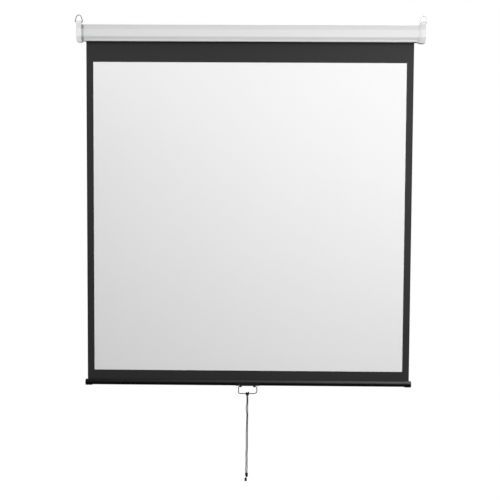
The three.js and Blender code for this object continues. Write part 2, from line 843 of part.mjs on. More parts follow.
// A pawl is drawn in the notch, about the roller's axis, with its pin straight above
function makePawl() {
  const armInner = ratchetRadius + pawlClear;
  const armOuter = armInner + pawlWidth;
  const heel = toothTurn + pawlHeel;
  const arm = [
    ...arc(0, 0, armOuter, quarterTurn, heel, smallSides / 2),
    ...arc(0, 0, armInner, heel, quarterTurn, smallSides / 2),
  ];
  const tooth = radialBlock(toothTurn, ratchetRadius - toothDepth, armInner + joinDepth, toothWidth);
  const hub = rodX(pawlHub, pawlStart, pawlEnd, smallSides, 0, pawlPinOrbit);
  const bore = rodX(pawlPinRadius + fit, pawlStart - overrun, pawlEnd + overrun, smallSides, 0, pawlPinOrbit);
  const whole = joined(hub, barX(arm, pawlStart, pawlEnd), barX(tooth, pawlStart, pawlEnd));
  return cutBy(whole, bore).translate([0, 0, -pawlPinOrbit]);
}

piece("drive_plug", makeDrivePlug(), blackPlastic(), roller);
piece("spring_anchor", makeAnchor(), blackPlastic(), roller);
piece("pawl_cover", makeCover(), zincSteel(), roller);
for (const [name, turn] of [["a", 0], ["b", Math.PI]]) {
  const half = group(roller, 0, 0, 0);
  half.rotation.x = turn;
  const pin = rodX(pawlPinRadius, tubeHalf + fit, coverEnd + fit, smallSides, 0, pawlPinOrbit);
  piece(`pawl_pin_${name}`, pin, zincSteel(), half);
  const lifted = group(half, 0, 0, pawlPinOrbit);
  lifted.rotation.x = -radians(pawlLift);
  piece(`pawl_${name}`, makePawl(), zincSteel(), lifted);
}

// Fabric: it leaves the roll on the wall side and hangs to the hem, which goes with the batten
const fabricFront = rollerY + rollEnd;
const fabricBack = fabricFront + fabricThickness;
const pictureTop = -casingTop - leaderDrop;
const pictureBottom = pictureTop - pictureHeight;
const battenTop = pictureBottom - footBand;
const hemTop = battenTop + hemRise;
const fabricHalf = fabricWidth / 2;

function makeMask() {
  const maskFront = fabricFront - maskThickness;
  const whole = block([-fabricHalf, maskFront, hemTop + fit], [fabricHalf, fabricFront, -fit]);
  const picture = block(
    [-pictureWidth / 2, maskFront - overrun, pictureBottom],
    [pictureWidth / 2, fabricFront + overrun, pictureTop],
  );
  return cutBy(whole, picture);
}

const sheet = block([-fabricHalf, fabricFront, hemTop + fit], [fabricHalf, fabricBack, -fit]);
piece("screen_sheet", sheet, whiteFabric());
piece("mask_border", makeMask(), blackFabric());

// Batten: drawn about its own axis
const battenZ = battenTop - battenRadius;
const battenInner = battenRadius - battenWall;
const battenHalf = battenLength / 2;
const batten = group(root, 0, fabricY, battenZ);
const hemLoop = hemRodRadius + fit + fabricThickness;
const hemZ = battenInner - hemLoop - fit;
const rivetX = bracketLength / 2 - bracketRivetInset;
const bracketOuter = battenRadius + fit + bracketWall;
const rivetEnd = -battenInner + rivetTail;

const rivetCuts = () => [1, -1].map((side) => (
  barY(circle(rivetRadius + fit, smallSides, side * rivetX), -bracketOuter - overrun, rivetEnd + overrun)
));

function makeBattenTube() {
  const ring = cutBy(
    rodX(battenRadius, -battenHalf, battenHalf),
    rodX(battenInner, -battenHalf - overrun, battenHalf + overrun),
  );
  const slot = block(
    [-battenHalf - overrun, -battenSlot / 2, 0],
    [battenHalf + overrun, battenSlot / 2, battenRadius + overrun],
  );
  return cutBy(ring, slot, ...rivetCuts().map((cut) => cut.translate([handleMiddle, 0, 0])));
}

function makeHem() {
  const strip = block([-fabricHalf, -fabricThickness, hemZ], [fabricHalf, fabricThickness, hemTop - battenZ]);
  const loop = rodX(hemLoop, -fabricHalf, fabricHalf, smallSides, 0, hemZ);
  const rodHole = rodX(
    hemRodRadius + fit, -fabricHalf - overrun, fabricHalf + overrun, smallSides, 0, hemZ,
  );
  return cutBy(joined(strip, loop), rodHole);
}

const hemRodHalf = battenHalf - hemRodInset;
piece("batten_tube", makeBattenTube(), blackPaint(), batten);
piece("fabric_hem", makeHem(), blackFabric(), batten);
piece("hem_rod", rodX(hemRodRadius, -hemRodHalf, hemRodHalf, smallSides, 0, hemZ), zincSteel(), batten);

function makeBattenCap() {
  const start = battenHalf - capSleeve;
  const bottom = battenHalf + fit;
  const end = bottom + capEndWall;
  const radius = battenRadius + fit + capSleeveWall + capSleeveDrop;
  const outside = turnedX([
    [start, 0],
    [start, radius - capSleeveWall],
    [start + capSleeveTaper, radius],
    [end - capEndEdge, radius],
    [end, radius - capEndEdge],
    [end, 0],
  ], roundSides).translate([0, 0, -capSleeveDrop]);
  const bore = rodX(battenRadius + fit, start - overrun, bottom);
  const slot = block(
    [start - overrun, -battenSlot / 2, 0],
    [fabricHalf + capSlotClear, battenSlot / 2, radius + overrun],
  );
  const plugStart = battenHalf - capPlugDepth;
  const plug = cutBy(
    rodX(battenInner - fit, plugStart, bottom + joinDepth),
    rodX(battenInner - fit - capPlugWall, plugStart - overrun, bottom),
  );
  return joined(cutBy(outside, bore, slot), plug);
}

for (const [name, side] of [["left", -1], ["right", 1]]) {
  const end = group(batten, 0, 0, 0);
  end.scale.x = side;
  piece(`${name}_batten_cap`, makeBattenCap(), blackPlastic(), end);
}

// Handle bracket: a saddle under the batten, with an arched web between its two lugs
const eyeZ = -battenRadius - eyeDrop;
const eyeRadius = bailWire + fit;
const lugHalf = eyeRadius + eyeWall;

function makeBracket() {
  const half = bracketLength / 2;
  const saddleTop = battenRadius * Math.sin(radians(bracketTopAngle));
  const saddle = rodX(bracketOuter, -half, half);
  const above = block(
    [-half - overrun, -bracketOuter - overrun, saddleTop],
    [half + overrun, bracketOuter + overrun, bracketOuter + overrun],
  );
  const lugs = [[-lugOuter, -lugInner], [lugInner, lugOuter]].flatMap(([from, to]) => [
    rodX(lugHalf, from, to, smallSides, 0, eyeZ),
    block([from, -lugHalf, eyeZ], [to, lugHalf, -battenRadius]),
  ]);
  const web = block(
    [-lugInner - joinDepth, -webThickness / 2, eyeZ],
    [lugInner + joinDepth, webThickness / 2, -battenRadius],
  );
  const archHeight = -battenRadius - bracketWall - webRise - eyeZ;
  const archOutline = circle(lugInner).map(({ x, y }) => point(x, eyeZ + (y * archHeight) / lugInner));
  const arch = barY(archOutline, -webThickness, webThickness);
  const seat = rodX(battenRadius + fit, -half - overrun, half + overrun);
  const eye = rodX(eyeRadius, -lugOuter - overrun, lugOuter + overrun, smallSides, 0, eyeZ);
  return cutBy(joined(saddle, ...lugs, cutBy(web, arch)), seat, above, eye, ...rivetCuts());
}

function makeRivet(side) {
  const shaft = barY(circle(rivetRadius, smallSides), -bracketOuter - rivetHeadHeight / 2, rivetEnd);
  const head = turnedZ(headProfile(0, rivetHeadHeight, rivetHeadRadius), smallSides);
  const seated = head.rotate([quarterTurn, 0, 0]).translate([0, -bracketOuter, 0]);
  return joined(shaft, seated).translate([side * rivetX, 0, 0]);
}

const bracket = group(batten, handleMiddle, 0, 0);
piece("handle_bracket", makeBracket(), blackPlastic(), bracket);
piece("bracket_rivet_left", makeRivet(-1), blackPaint(), bracket);
piece("bracket_rivet_right", makeRivet(1), blackPaint(), bracket);

// Bail: drawn from its axis. The right leg bows outwards, as the wire is bent
function makeBail() {
  const tip = lugOuter - bailTip;
  const bend = bailHalf - lugOuter;
  const bow = bailHalf + bailBulge;
  const small = bailSmallRadius;
  const large = bailLargeRadius;
  const line = [
    [-tip, 0],
    [-lugOuter + fit, 0],
    [-lugOuter - fit, 0],
    [-bailHalf + bend * elbowShare, -bend * elbowShare],
    [-bailHalf, -bend],
    [-bailHalf, -bailDrop / 2],
    [-bailHalf, small - bailDrop],
    [-bailHalf + small * elbowShare, small * elbowShare - bailDrop],
    [-bailHalf + small, -bailDrop],
    [-bailHalf / 2, -bailDrop],
    [0, -bailDrop],
    [bow / 2, -bailDrop],
    [bow - large, -bailDrop],
    [bow - large * elbowShare, large * elbowShare - bailDrop],
    [bow, large - bailDrop],
    [bow - bailBulge * bowShares[0], -bailDrop * bowShares[1]],
    [bailHalf + bend * elbowShare, -bend],
    [lugOuter + fit, 0],
    [lugOuter - fit, 0],
    [tip, 0],
  ];
  return wireAlong(smoothLine(line.map(([x, z]) => [x, 0, z])), bailWire, wireSides, bailSteps);
}

const handle = group(bracket, 0, 0, eyeZ);
piece("handle_bail", makeBail(), greyWire(), handle);

// Pull cord: drawn from the middle of the hitch, on the bail's bar
const cord = group(handle, cordMiddle, 0, -bailDrop);
const snug = bailWire + fit + cordRadius;
const strandOff = cordRadius + fit / 2; // a strand from the middle of the two

function cordLoop(radius, x) {
  const section = circle(cordRadius, wireSides, 0, radius).map((p) => [p.x, p.y]);
  return turnedX([...section, section[0]], smallSides).translate([x, 0, radius - snug]);
}

function makeHitch() {
  const top = -bailWire - fit;
  const body = turnedZ([
    [top, 0],
    ...hitchShares.map(([down, out]) => [
      top - (top + hitchDrop) * down,
      hitchWaist + (hitchHip - hitchWaist) * out,
    ]),
    [-hitchDrop, 0],
  ], smallSides);
  const loops = hitchTurns.map((place) => (
    cordLoop(place === hitchTurns.at(-1) ? hitchTallRadius : snug, place * strandOff)
  ));
  return joined(body, ...loops);
}

function makeStrand(side) {
  const route = course.map(([x, apart, y, down]) => (
    [x + side * (strandOff + apart), -side * y, -hitchDrop - fit - down]
  ));
  return wireAlong(smoothLine(route), cordRadius, wireSides, strandSteps);
}

function makeKnot(x, top, flat, radius, length) {
  return turnedZ([
    [0, 0],
    ...knotShares.map(([down, out]) => [-length * down, flat + (radius - flat) * out]),
    [-length, 0],
  ], smallSides).translate([x, 0, top]);
}

const knotTop = -hitchDrop - fit - course.at(-1).at(-1) - fit;
const tailTop = knotTop - knotLength - fit;
const endKnotTop = tailTop + tail.at(-1).at(-1) - fit;
const tailLine = smoothLine(tail.map(([x, y, z]) => [x, y, tailTop + z]));
piece("cord_hitch", makeHitch(), cordBlack(), cord);
piece("cord_strand_a", makeStrand(-1), cordBlack(), cord);
piece("cord_strand_b", makeStrand(1), cordBlack(), cord);
piece("cord_knot", makeKnot(knotX, knotTop, knotFlat, knotRadius, knotLength), cordBlack(), cord);
piece("cord_tail", wireAlong(tailLine, cordRadius, wireSides, tail.length), cordBlack(), cord);
piece(
  "cord_end_knot",
  makeKnot(endKnotX, endKnotTop, endKnotFlat, endKnotRadius, endKnotLength),
  cordBlack(),
  cord,
);

export default root;
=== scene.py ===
"""A pull-down projection screen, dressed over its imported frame.

Lengths are in metres. X runs along the roller, -Y faces the audience and +Z is up.
"""

import json
import logging
import math
from dataclasses import dataclass
from enum import Enum, IntEnum

import bmesh
import bpy
from bpy.types import ID, Material, Node, NodeSocket, Object, World
from mathutils import Matrix, Vector

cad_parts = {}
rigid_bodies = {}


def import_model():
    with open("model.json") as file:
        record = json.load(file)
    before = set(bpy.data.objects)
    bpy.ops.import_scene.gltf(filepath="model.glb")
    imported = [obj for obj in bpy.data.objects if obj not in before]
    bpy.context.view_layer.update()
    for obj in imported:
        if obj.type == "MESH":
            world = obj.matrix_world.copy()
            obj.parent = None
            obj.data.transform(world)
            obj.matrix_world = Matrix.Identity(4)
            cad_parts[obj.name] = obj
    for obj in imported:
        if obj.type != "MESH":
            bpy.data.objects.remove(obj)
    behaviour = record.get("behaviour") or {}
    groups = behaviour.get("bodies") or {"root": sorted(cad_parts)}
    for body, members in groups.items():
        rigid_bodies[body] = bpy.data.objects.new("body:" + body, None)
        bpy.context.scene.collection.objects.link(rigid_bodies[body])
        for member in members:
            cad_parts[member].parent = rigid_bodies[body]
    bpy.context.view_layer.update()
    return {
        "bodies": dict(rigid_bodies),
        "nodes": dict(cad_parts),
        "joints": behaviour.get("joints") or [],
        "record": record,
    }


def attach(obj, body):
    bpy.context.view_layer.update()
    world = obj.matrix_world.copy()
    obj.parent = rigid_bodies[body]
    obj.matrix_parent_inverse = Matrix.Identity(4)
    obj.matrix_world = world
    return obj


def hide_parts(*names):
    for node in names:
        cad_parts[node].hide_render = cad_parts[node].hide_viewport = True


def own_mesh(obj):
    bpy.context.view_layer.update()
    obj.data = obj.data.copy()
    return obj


log = logging.getLogger("screen")

MM = 0.001
FULL_TURN = 2 * math.pi
MERGE_DISTANCE = 0.001 * MM
FLAT_ANGLE = math.radians(0.3)
BEVEL_ANGLE = math.radians(38)
BEVEL_SEGMENTS = 2
CREASE_ANGLE = math.radians(40)
MIX_LOW, MIX_HIGH, MIX_RESULT = 6, 7, 2

Point = tuple[float, float, float]
Colour = tuple[float, float, float]
Faces = list[tuple[int, ...]]
Outline = list[tuple[float, float]]


# Shader arithmetic


class Value:
    """A number that varies over the surface, on which ordinary arithmetic works."""

    def __init__(self, tree: "Tree", socket: NodeSocket) -> None:
        """Wraps an output socket of a node tree."""
        self.tree = tree
        self.socket = socket

    def apply(self, operation: str, *others: "Value | float") -> "Value":
        """This value under a Math node's operation, with its other terms."""
        return self.tree.math(operation, self, *others)

    def __add__(self, other: "Value | float") -> "Value":
        """The sum."""
        return self.apply("ADD", other)

    __radd__ = __add__

    def __sub__(self, other: "Value | float") -> "Value":
        """The difference."""
        return self.apply("SUBTRACT", other)

    def __rsub__(self, other: float) -> "Value":
        """The difference from a plain number."""
        return self.tree.math("SUBTRACT", other, self)

    def __mul__(self, other: "Value | float") -> "Value":
        """The product."""
        return self.apply("MULTIPLY", other)

    __rmul__ = __mul__

    def __abs__(self) -> "Value":
        """The size without its sign."""
        return self.apply("ABSOLUTE")

    def above(self, limit: float) -> "Value":
        """1 where the value is over the limit, and 0 elsewhere."""
        return self.apply("GREATER_THAN", limit)

    def sine(self) -> "Value":
        """The sine of the value in radians."""
        return self.apply("SINE")

    def most(self, limit: float) -> "Value":
        """The value, but no more than the limit."""
        return self.apply("MINIMUM", limit)

    def least(self, limit: float) -> "Value":
        """The value, but no less than the limit."""
        return self.apply("MAXIMUM", limit)


class Tree:
    """The node tree of a material or of the sky."""

    def __init__(self, owner: Material | World) -> None:
        """Empties the owner's tree.

        Args:
            owner: The material or the sky.
        """
        owner.use_nodes = True
        self.nodes = owner.node_tree.nodes
        self.links = owner.node_tree.links
        self.nodes.clear()

    def node(self, kind: str, settings: dict | None = None, values: dict | None = None) -> Node:
        """Adds a node.

        Args:
            kind: The node's type name.
            settings: Its properties.
            values: What goes into its sockets, each a plain value, a Value or another socket.

        Returns:
            The new node.
        """
        made = self.nodes.new(kind)
        for key, value in (settings or {}).items():
            setattr(made, key, value)
        for key, value in (values or {}).items():
            self.feed(made.inputs[key], value)
        return made

    def feed(self, entry: NodeSocket, value: object) -> None:
        """Fills an input.

        Args:
            entry: The input.
            value: A Value or a socket to link to it, or a plain number or colour.
        """
        source = value.socket if isinstance(value, Value) else value
        if isinstance(source, NodeSocket):
            self.links.new(source, entry)
        elif entry.type == "RGBA":
            entry.default_value = (*source, 1.0)
        else:
            entry.default_value = source

    def math(self, operation: str, *terms: "Value | float") -> Value:
        """The result of a Math node on those terms."""
        made = self.node("ShaderNodeMath", {"operation": operation}, dict(enumerate(terms)))
        return Value(self, made.outputs[0])

    def seen(self) -> Value:
        """Tells what the camera sees, straight or in a reflection or through glass.

        Returns:
            1 where it sees it, and 0 elsewhere.
        """
        path = self.node("ShaderNodeLightPath").outputs
        straight, mirrored, through = (
            Value(self, path[f"Is {kind} Ray"]) for kind in ("Camera", "Glossy", "Transmission")
        )
        return (straight + mirrored + through).most(1.0)


@dataclass(frozen=True)
class Grain:
    """Soft random variation over a surface.

    Attributes:
        scale: Patches to a metre.
        stretch: How much finer than that it is along each axis.
        detail: How many finer layers are added.
        swing: How far it changes the roughness.
        depth: Depth of the relief that it makes.
    """

    scale: float
    stretch: Point = (1, 1, 1)
    detail: float = 2.0
    swing: float = 0.0
    depth: float = 0.0


class Shader(Tree):
    """The node tree of one material, with a Principled surface."""

    def __init__(self, name: str) -> None:
        """Starts a material with a plain surface.

        Args:
            name: The material's name.
        """
        self.material = bpy.data.materials.new(name)
        super().__init__(self.material)
        self.surface = self.node("ShaderNodeBsdfPrincipled")
        self.output = self.node("ShaderNodeOutputMaterial", values={0: self.surface.outputs[0]})
        self.place = self.node("ShaderNodeTexCoord")

    def axis(self, name: str, source: str = "Object") -> Value:
        """One coordinate of the surface, X, Y or Z, from the object's own space or its UV map."""
        parts = self.node("ShaderNodeSeparateXYZ", values={0: self.place.outputs[source]})
        return Value(self, parts.outputs[name])

    def upward(self) -> Value:
        """How far the surface faces up: 1 on top, 0 on an upright side and -1 underneath."""
        normal = self.node("ShaderNodeNewGeometry").outputs["Normal"]
        return Value(self, self.node("ShaderNodeSeparateXYZ", values={0: normal}).outputs["Z"])

    def noise(self, grain: Grain) -> Value:
        """The variation over the surface, from 0 to 1.

        Args:
            grain: The grain that it has.

        Returns:
            The variation.
        """
        place = {0: self.place.outputs["Object"], 1: grain.stretch}
        vector = self.node("ShaderNodeVectorMath", {"operation": "MULTIPLY"}, place).outputs[0]
        values = {"Vector": vector, "Scale": grain.scale, "Detail": grain.detail}
        return Value(self, self.node("ShaderNodeTexNoise", values=values).outputs[0])

    def mix(self, share: Value, low: Colour | NodeSocket, high: Colour | NodeSocket) -> NodeSocket:
        """The colour between low, at a share of 0, and high, at a share of 1."""
        settings = {"data_type": "RGBA", "clamp_factor": True}
        values = {0: share, MIX_LOW: low, MIX_HIGH: high}
        return self.node("ShaderNodeMix", settings, values).outputs[MIX_RESULT]

    def bump(self, height: Value, distance: float, strength: float = 1.0) -> None:
        """Gives the surface relief of that height, in metres from its lowest to its highest."""
        values = {"Height": height, "Distance": distance, "Strength": strength}
        self.feed(self.surface.inputs["Normal"], self.node("ShaderNodeBump", values=values).outputs[0])

    def set(self, values: dict) -> None:
        """Feeds the Principled surface's own sockets."""
        for key, value in values.items():
            self.feed(self.surface.inputs[key], value)


# Finishes


def grey(level: float, warmth: float = 0.0) -> Colour:
    """A linear grey.

    Args:
        level: Its sRGB level, from 0 to 255.
        warmth: The share by which its red is raised and its blue lowered.

    Returns:
        The colour.
    """
    share = level / 255
    linear = share / 12.92 if share <= 0.04045 else ((share + 0.055) / 1.055) ** 2.4
    return (linear * (1 + warmth), linear, linear * (1 - warmth))


def shade(colour: Colour, share: float) -> Colour:
    """The colour at that share of its brightness."""
    return tuple(part * share for part in colour)


def weighted(share: float, first: Value, second: Value) -> Value:
    """That share of the first value, with the rest from the second."""
    return first * share + second * (1 - share)


def crossed(first: Value, second: Value) -> Value:
    """Two sets of ridges that cross, from their angles in radians, as a height from 0 to 1."""
    return first.sine() * second.sine() * 0.5 + 0.5


@dataclass(frozen=True)
class Finish:
    """A surface's look.

    Attributes:
        name: Its name.
        slot: The record's material slot; not used.
        colour: Its linear colour.
        roughness: Its middle roughness.
        gloss: Its specular level.
    """

    name: str
    slot: str
    colour: Colour
    roughness: float
    gloss: float = 0.5

    def material(self) -> Material:
        """Finds the finish's material, and makes it the first time.

        Returns:
            The material.
        """
        found = bpy.data.materials.get(f"{self.name}_finish")
        if found is not None:
            return found
        shader = Shader(f"{self.name}_finish")
        self.describe(shader)
        return shader.material

    def describe(self, shader: Shader) -> None:
        """Builds the finish, each kind in its own way."""
        raise NotImplementedError

    def coat(self, shader: Shader, tone: Colour | NodeSocket, *layers: tuple[Value, Grain]) -> None:
        """Feeds the surface its colour, gloss and roughness.

        Args:
            shader: The finish's shader.
            tone: The colour.
            layers: Variations that move the roughness either way, by their grain's swing.
        """
        rough = sum(((value - 0.5) * grain.swing for value, grain in layers), self.roughness)
        shader.set({"Base Color": tone, "Roughness": rough, "Specular IOR Level": self.gloss})


@dataclass(frozen=True)
class Paint(Finish):
    """Powder coat, with a fine orange peel, faint clouds in its tone, and at will a painted highlight.

    Attributes:
        peel: The orange peel.
        clouds: The clouds.
        cloud: How much darker they are, as a share.
        specks: Fine specks in its gloss and its painted highlight.
        sheen_level: Grey level of the painted highlight on what faces up, in place of the paint's sheen, or
            none.
        sheen_depth: How strong the painted highlight is in the screen's middle.
        sheen_drift: How much stronger it is painted towards the right, the key light's side, to a metre.
        sheen_slope: The rise of a surface's normal from which it is painted.
        sheen_top_fade: The share of it that fades out on a level top.
        sheen_thin: The share of it that a speck leaves out.
    """

    gloss: float = 0.15
    peel: Grain = Grain(650.0, depth=0.02 * MM)
    clouds: Grain = Grain(7.0, (0.4, 1, 1), 3.0)
    cloud: float = 0.03
    specks: Grain = Grain(900.0, detail=1.0, swing=0.1)
    sheen_level: float = 0.0
    sheen_depth: float = 0.7
    sheen_drift: float = 0.0
    sheen_slope: float = 0.12
    sheen_top_fade: float = 0.5
    sheen_thin: float = 0.3

    def describe(self, shader: Shader) -> None:
        """Builds the finish.

        Args:
            shader: The shader that it is built in.
        """
        clouds, specks = shader.noise(self.clouds), shader.noise(self.specks)
        tone = shader.mix(clouds, self.colour, shade(self.colour, 1 - self.cloud))
        # Painted highlight: upper faces are lightened, more towards the right, in place of the sheen that
        # the key light gives.
        if self.sheen_level:
            tone = shader.mix(self.sheen_share(shader, specks), tone, grey(self.sheen_level))
        self.coat(shader, tone, (specks, self.specks))
        shader.bump(shader.noise(self.peel), self.peel.depth)

    def sheen_share(self, shader: Shader, specks: Value) -> Value:
        """How much of the paint the painted highlight covers.

        Args:
            shader: The finish's shader.
            specks: The fine specks.

        Returns:
            The share that it hides.
        """
        depth = shader.axis("X") * self.sheen_drift + self.sheen_depth
        upward = shader.upward()
        sheen_facing = (upward - self.sheen_slope).least(0.0) * (1 - upward * upward * self.sheen_top_fade)
        return sheen_facing * depth * depth * (specks * self.sheen_thin + (1 - self.sheen_thin))


@dataclass(frozen=True)
class Moulding(Finish):
    """Moulded plastic with a fine spark-eroded grain, and at will a painted shade in a sunken neck.

    Attributes:
        grain: The grain.
        flow: Marks of the melt's flow.
        flow_tone: The share of the colour left in them.
        neck_shade: From where to where, along X, the sunken neck is painted darker, as its shade.
        neck_shade_middle: Half of the height over which the painted shade is paler.
        neck_shade_fade: How far above and below that it takes to get darker.
        neck_shade_pale: The share of the colour left in the neck's middle.
        neck_shade_dark: The same at its top and foot.
        neck_shade_thin: The share of the painted shade that a flow mark leaves out.
    """

    gloss: float = 0.3
    grain: Grain = Grain(1400.0, detail=3.0, swing=0.16, depth=0.03 * MM)
    flow: Grain = Grain(28.0, (1, 1, 0.5), 3.0, swing=0.06)
    flow_tone: float = 0.95
    neck_shade: tuple[float, float] | None = None
    neck_shade_middle: float = 14 * MM
    neck_shade_fade: float = 8 * MM
    neck_shade_pale: float = 0.66
    neck_shade_dark: float = 0.36
    neck_shade_thin: float = 0.2

    def describe(self, shader: Shader) -> None:
        """Builds the finish.

        Args:
            shader: The shader that it is built in.
        """
        flow, grain = shader.noise(self.flow), shader.noise(self.grain)
        tone = shader.mix(flow, self.colour, shade(self.colour, self.flow_tone))
        # Painted shade: the sunken neck between cap and casing is darkened, most at its top and foot.
        if self.neck_shade:
            start, end = self.neck_shade
            along = shader.axis("X")
            sunken = along.above(start) * (1 - along.above(end))
            neck_shaded = sunken * (flow * self.neck_shade_thin + (1 - self.neck_shade_thin))
            tone = shader.mix(neck_shaded, tone, self.neck_shade_tone(shader))
        self.coat(shader, tone, (grain, self.grain), (flow, self.flow))
        shader.bump(grain, self.grain.depth)

    def neck_shade_tone(self, shader: Shader) -> NodeSocket:
        """The neck's painted shade, darker towards its top and foot.

        Args:
            shader: The finish's shader.

        Returns:
            The colour's socket.
        """
        corner = (abs(shader.axis("Z")) - self.neck_shade_middle) * (1 / self.neck_shade_fade)
        pale, dark = shade(self.colour, self.neck_shade_pale), shade(self.colour, self.neck_shade_dark)
        return shader.mix(corner.least(0.0).most(1.0), pale, dark)


@dataclass(frozen=True)
class Cloth(Finish):
    """Coated screen cloth: a fine embossed weave with a faint unevenness.

    Attributes:
        thread: Distance between threads.
        fibres: The threads' fibres.
        relief: Depth of the weave and the fibres.
        relief_strength: Strength of that relief.
        weave_share: The weave's share in it.
        patches: Uneven patches.
        patch: How much darker they are, as a share.
        edge: Distance from the middle beyond which the cut edge is sealed.
        seal: The share of the colour left in the seal.
    """

    gloss: float = 0.2
    thread: float = 0.9 * MM
    fibres: Grain = Grain(1100.0, swing=0.12)
    relief: float = 0.05 * MM
    relief_strength: float = 0.6
    weave_share: float = 0.6
    patches: Grain = Grain(2.2, (1, 1, 0.6), 3.0)
    patch: float = 0.02
    edge: float = 0.0
    seal: float = 0.55

    def describe(self, shader: Shader) -> None:
        """Builds the finish.

        Args:
            shader: The shader that it is built in.
        """
        turn = FULL_TURN / self.thread
        weave = crossed(shader.axis("X") * turn, shader.axis("Z") * turn)
        patches, fibres = shader.noise(self.patches), shader.noise(self.fibres)
        tone = shader.mix(patches, self.colour, shade(self.colour, 1 - self.patch))
        if self.edge:
            sealed = abs(shader.axis("X")).above(self.edge)
            tone = shader.mix(sealed, tone, shade(self.colour, self.seal))
        self.coat(shader, tone, (fibres, self.fibres))
        shader.bump(weighted(self.weave_share, weave, fibres), self.relief, self.relief_strength)


@dataclass(frozen=True)
class Metal(Finish):
    """Bare or plated metal with fine drawing marks along one axis.

    Attributes:
        marks: The drawing marks.
        bloom: Dulled patches.
        bloom_tone: The share of the colour left in them.
    """

    marks: Grain = Grain(1500.0, (0.05, 1, 1), swing=0.16, depth=0.01 * MM)
    bloom: Grain = Grain(60.0, detail=3.0, swing=0.12)
    bloom_tone: float = 0.82

    def describe(self, shader: Shader) -> None:
        """Builds the finish.

        Args:
            shader: The shader that it is built in.
        """
        marks, bloom = shader.noise(self.marks), shader.noise(self.bloom)
        tone = shader.mix(bloom, self.colour, shade(self.colour, self.bloom_tone))
        self.coat(shader, tone, (marks, self.marks), (bloom, self.bloom))
        shader.set({"Metallic": 1.0})
        shader.bump(marks, self.marks.depth)


@dataclass(frozen=True)
class Braid(Finish):
    """Braided cord: two sets of strands that cross round it, from its UV map.

    Attributes:
        plait: Length of cord that one crossing takes.
        carriers: Strands to one turn round it.
        fuzz: Loose fibres.
        relief: Depth of the braid.
        relief_strength: Strength of that relief.
        relief_share: The braid's share in it, before the fuzz's.
        tone_share: The same in the colour.
        groove_shade: The share of the colour left between strands, as painted shade.
    """

    gloss: float = 0.1
    plait: float = 2.4 * MM
    carriers: int = 6
    fuzz: Grain = Grain(2600.0, swing=0.1)
    relief: float = 0.35 * MM
    relief_strength: float = 0.8
    relief_share: float = 0.85
    tone_share: float = 0.75
    groove_shade: float = 0.4

    def describe(self, shader: Shader) -> None:
        """Builds the finish.

        Args:
            shader: The shader that it is built in.
        """
        around = shader.axis("X", "UV") * (FULL_TURN * self.carriers)
        along = shader.axis("Y", "UV") * (FULL_TURN / self.plait)
        braid = crossed(around + along, around - along)
        fuzz = shader.noise(self.fuzz)
        lit = weighted(self.tone_share, braid, fuzz)
        # Painted shade: the colour is darkened between the strands.
        tone = shader.mix(lit, shade(self.colour, self.groove_shade), self.colour)
        self.coat(shader, tone, (fuzz, self.fuzz))
        shader.bump(weighted(self.relief_share, braid, fuzz), self.relief, self.relief_strength)


CASING_PAINT = Paint("casing_paint", "casing_paint", grey(219), 0.5)
# The batten paint and the batten caps carry a painted highlight on what faces up, stronger towards the
# right.
BATTEN_PAINT = Paint("batten_paint", "batten_paint", grey(8), 0.34, 0.03, cloud=0.1, sheen_level=154, sheen_drift=0.47)
BATTEN_CAP = Paint("batten_cap", "black_plastic", grey(6), 0.4, 0.03, cloud=0.1, sheen_level=158, sheen_drift=0.47)
# One cap plastic in two painted tones, as light and shade: the left cap lighter, with painted shade in its
# neck, the right cap darker.
LIT_IDLER_CAP = Moulding("idler_cap", "cap_plastic", grey(234), 0.5, 0.2, neck_shade=(-765 * MM, -753 * MM))
SHADED_DRIVE_CAP = Moulding("drive_cap", "cap_plastic", grey(221), 0.5, 0.2)
BLACK_PLASTIC = Moulding("black_plastic", "black_plastic", grey(14), 0.45, 0.1)
NYLON = Moulding("nylon", "nylon", grey(222, 0.02), 0.5)
PICTURE_CLOTH = Cloth("picture_cloth", "picture_fabric", grey(238), 0.85)
BORDER_CLOTH = Cloth("border_cloth", "border_ink", grey(29), 0.55, patch=0.1, edge=746.5 * MM)
BACK_CLOTH = Cloth("back_cloth", "black_fabric", grey(48), 0.75, patch=0.12)
ZINC = Metal("zinc_steel", "zinc_steel", grey(205, 0.01), 0.36)
# One zinc steel in two painted tones, as shade and light: the left ring dark, the right ring bright.
SHADED_RING = Metal("dull_ring", "zinc_steel", grey(48), 0.4)
LIT_RING = Metal("bright_ring", "zinc_steel", grey(165), 0.36)
HANDLE_WIRE = Metal("handle_wire", "wire_steel", grey(62), 0.36)
SPRING_STEEL = Metal("spring_steel", "spring_steel", grey(150), 0.35)
ALUMINIUM = Metal("tube_aluminium", "tube_aluminium", grey(215), 0.38)
CORD_BRAID = Braid("cord_braid", "cord", grey(26, 0.03), 0.8)


# Mesh building


class Soften(Enum):
    """How a copy of a CAD node is softened: bevel width in metres, and levels of subdivision."""

    CRISP = (0.15 * MM, 0)
    EDGE = (0.3 * MM, 0)
    MOULDED = (0.5 * MM, 0)
    WIRE = (0.0, 1)


class ClothFace(IntEnum):
    """The hanging cloth's materials, in their order on the mesh."""

    PICTURE = 0
    BORDER = 1
    BACK = 2


def add_object(name: str, data: ID) -> Object:
    """A new object with that data, linked to the scene."""
    made = bpy.data.objects.new(name, data)
    bpy.context.scene.collection.objects.link(made)
    return made


def add_piece(name: str, points: list[Vector], faces: Faces, smooth: bool = True) -> Object:
    """Makes a mesh object from points and faces.

    Args:
        name: The piece's name.
        points: Its points in the frame.
        faces: The points of each face.
        smooth: Whether its faces are shaded smooth, with sharp edges where they turn far.

    Returns:
        The new object.
    """
    mesh = bpy.data.meshes.new(name)
    mesh.from_pydata(points, [], faces)
    mesh.validate()
    if smooth:
        mesh.shade_smooth()
    else:
        mesh.shade_flat()
    mesh.set_sharp_from_angle(angle=CREASE_ANGLE)
    return add_object(name, mesh)


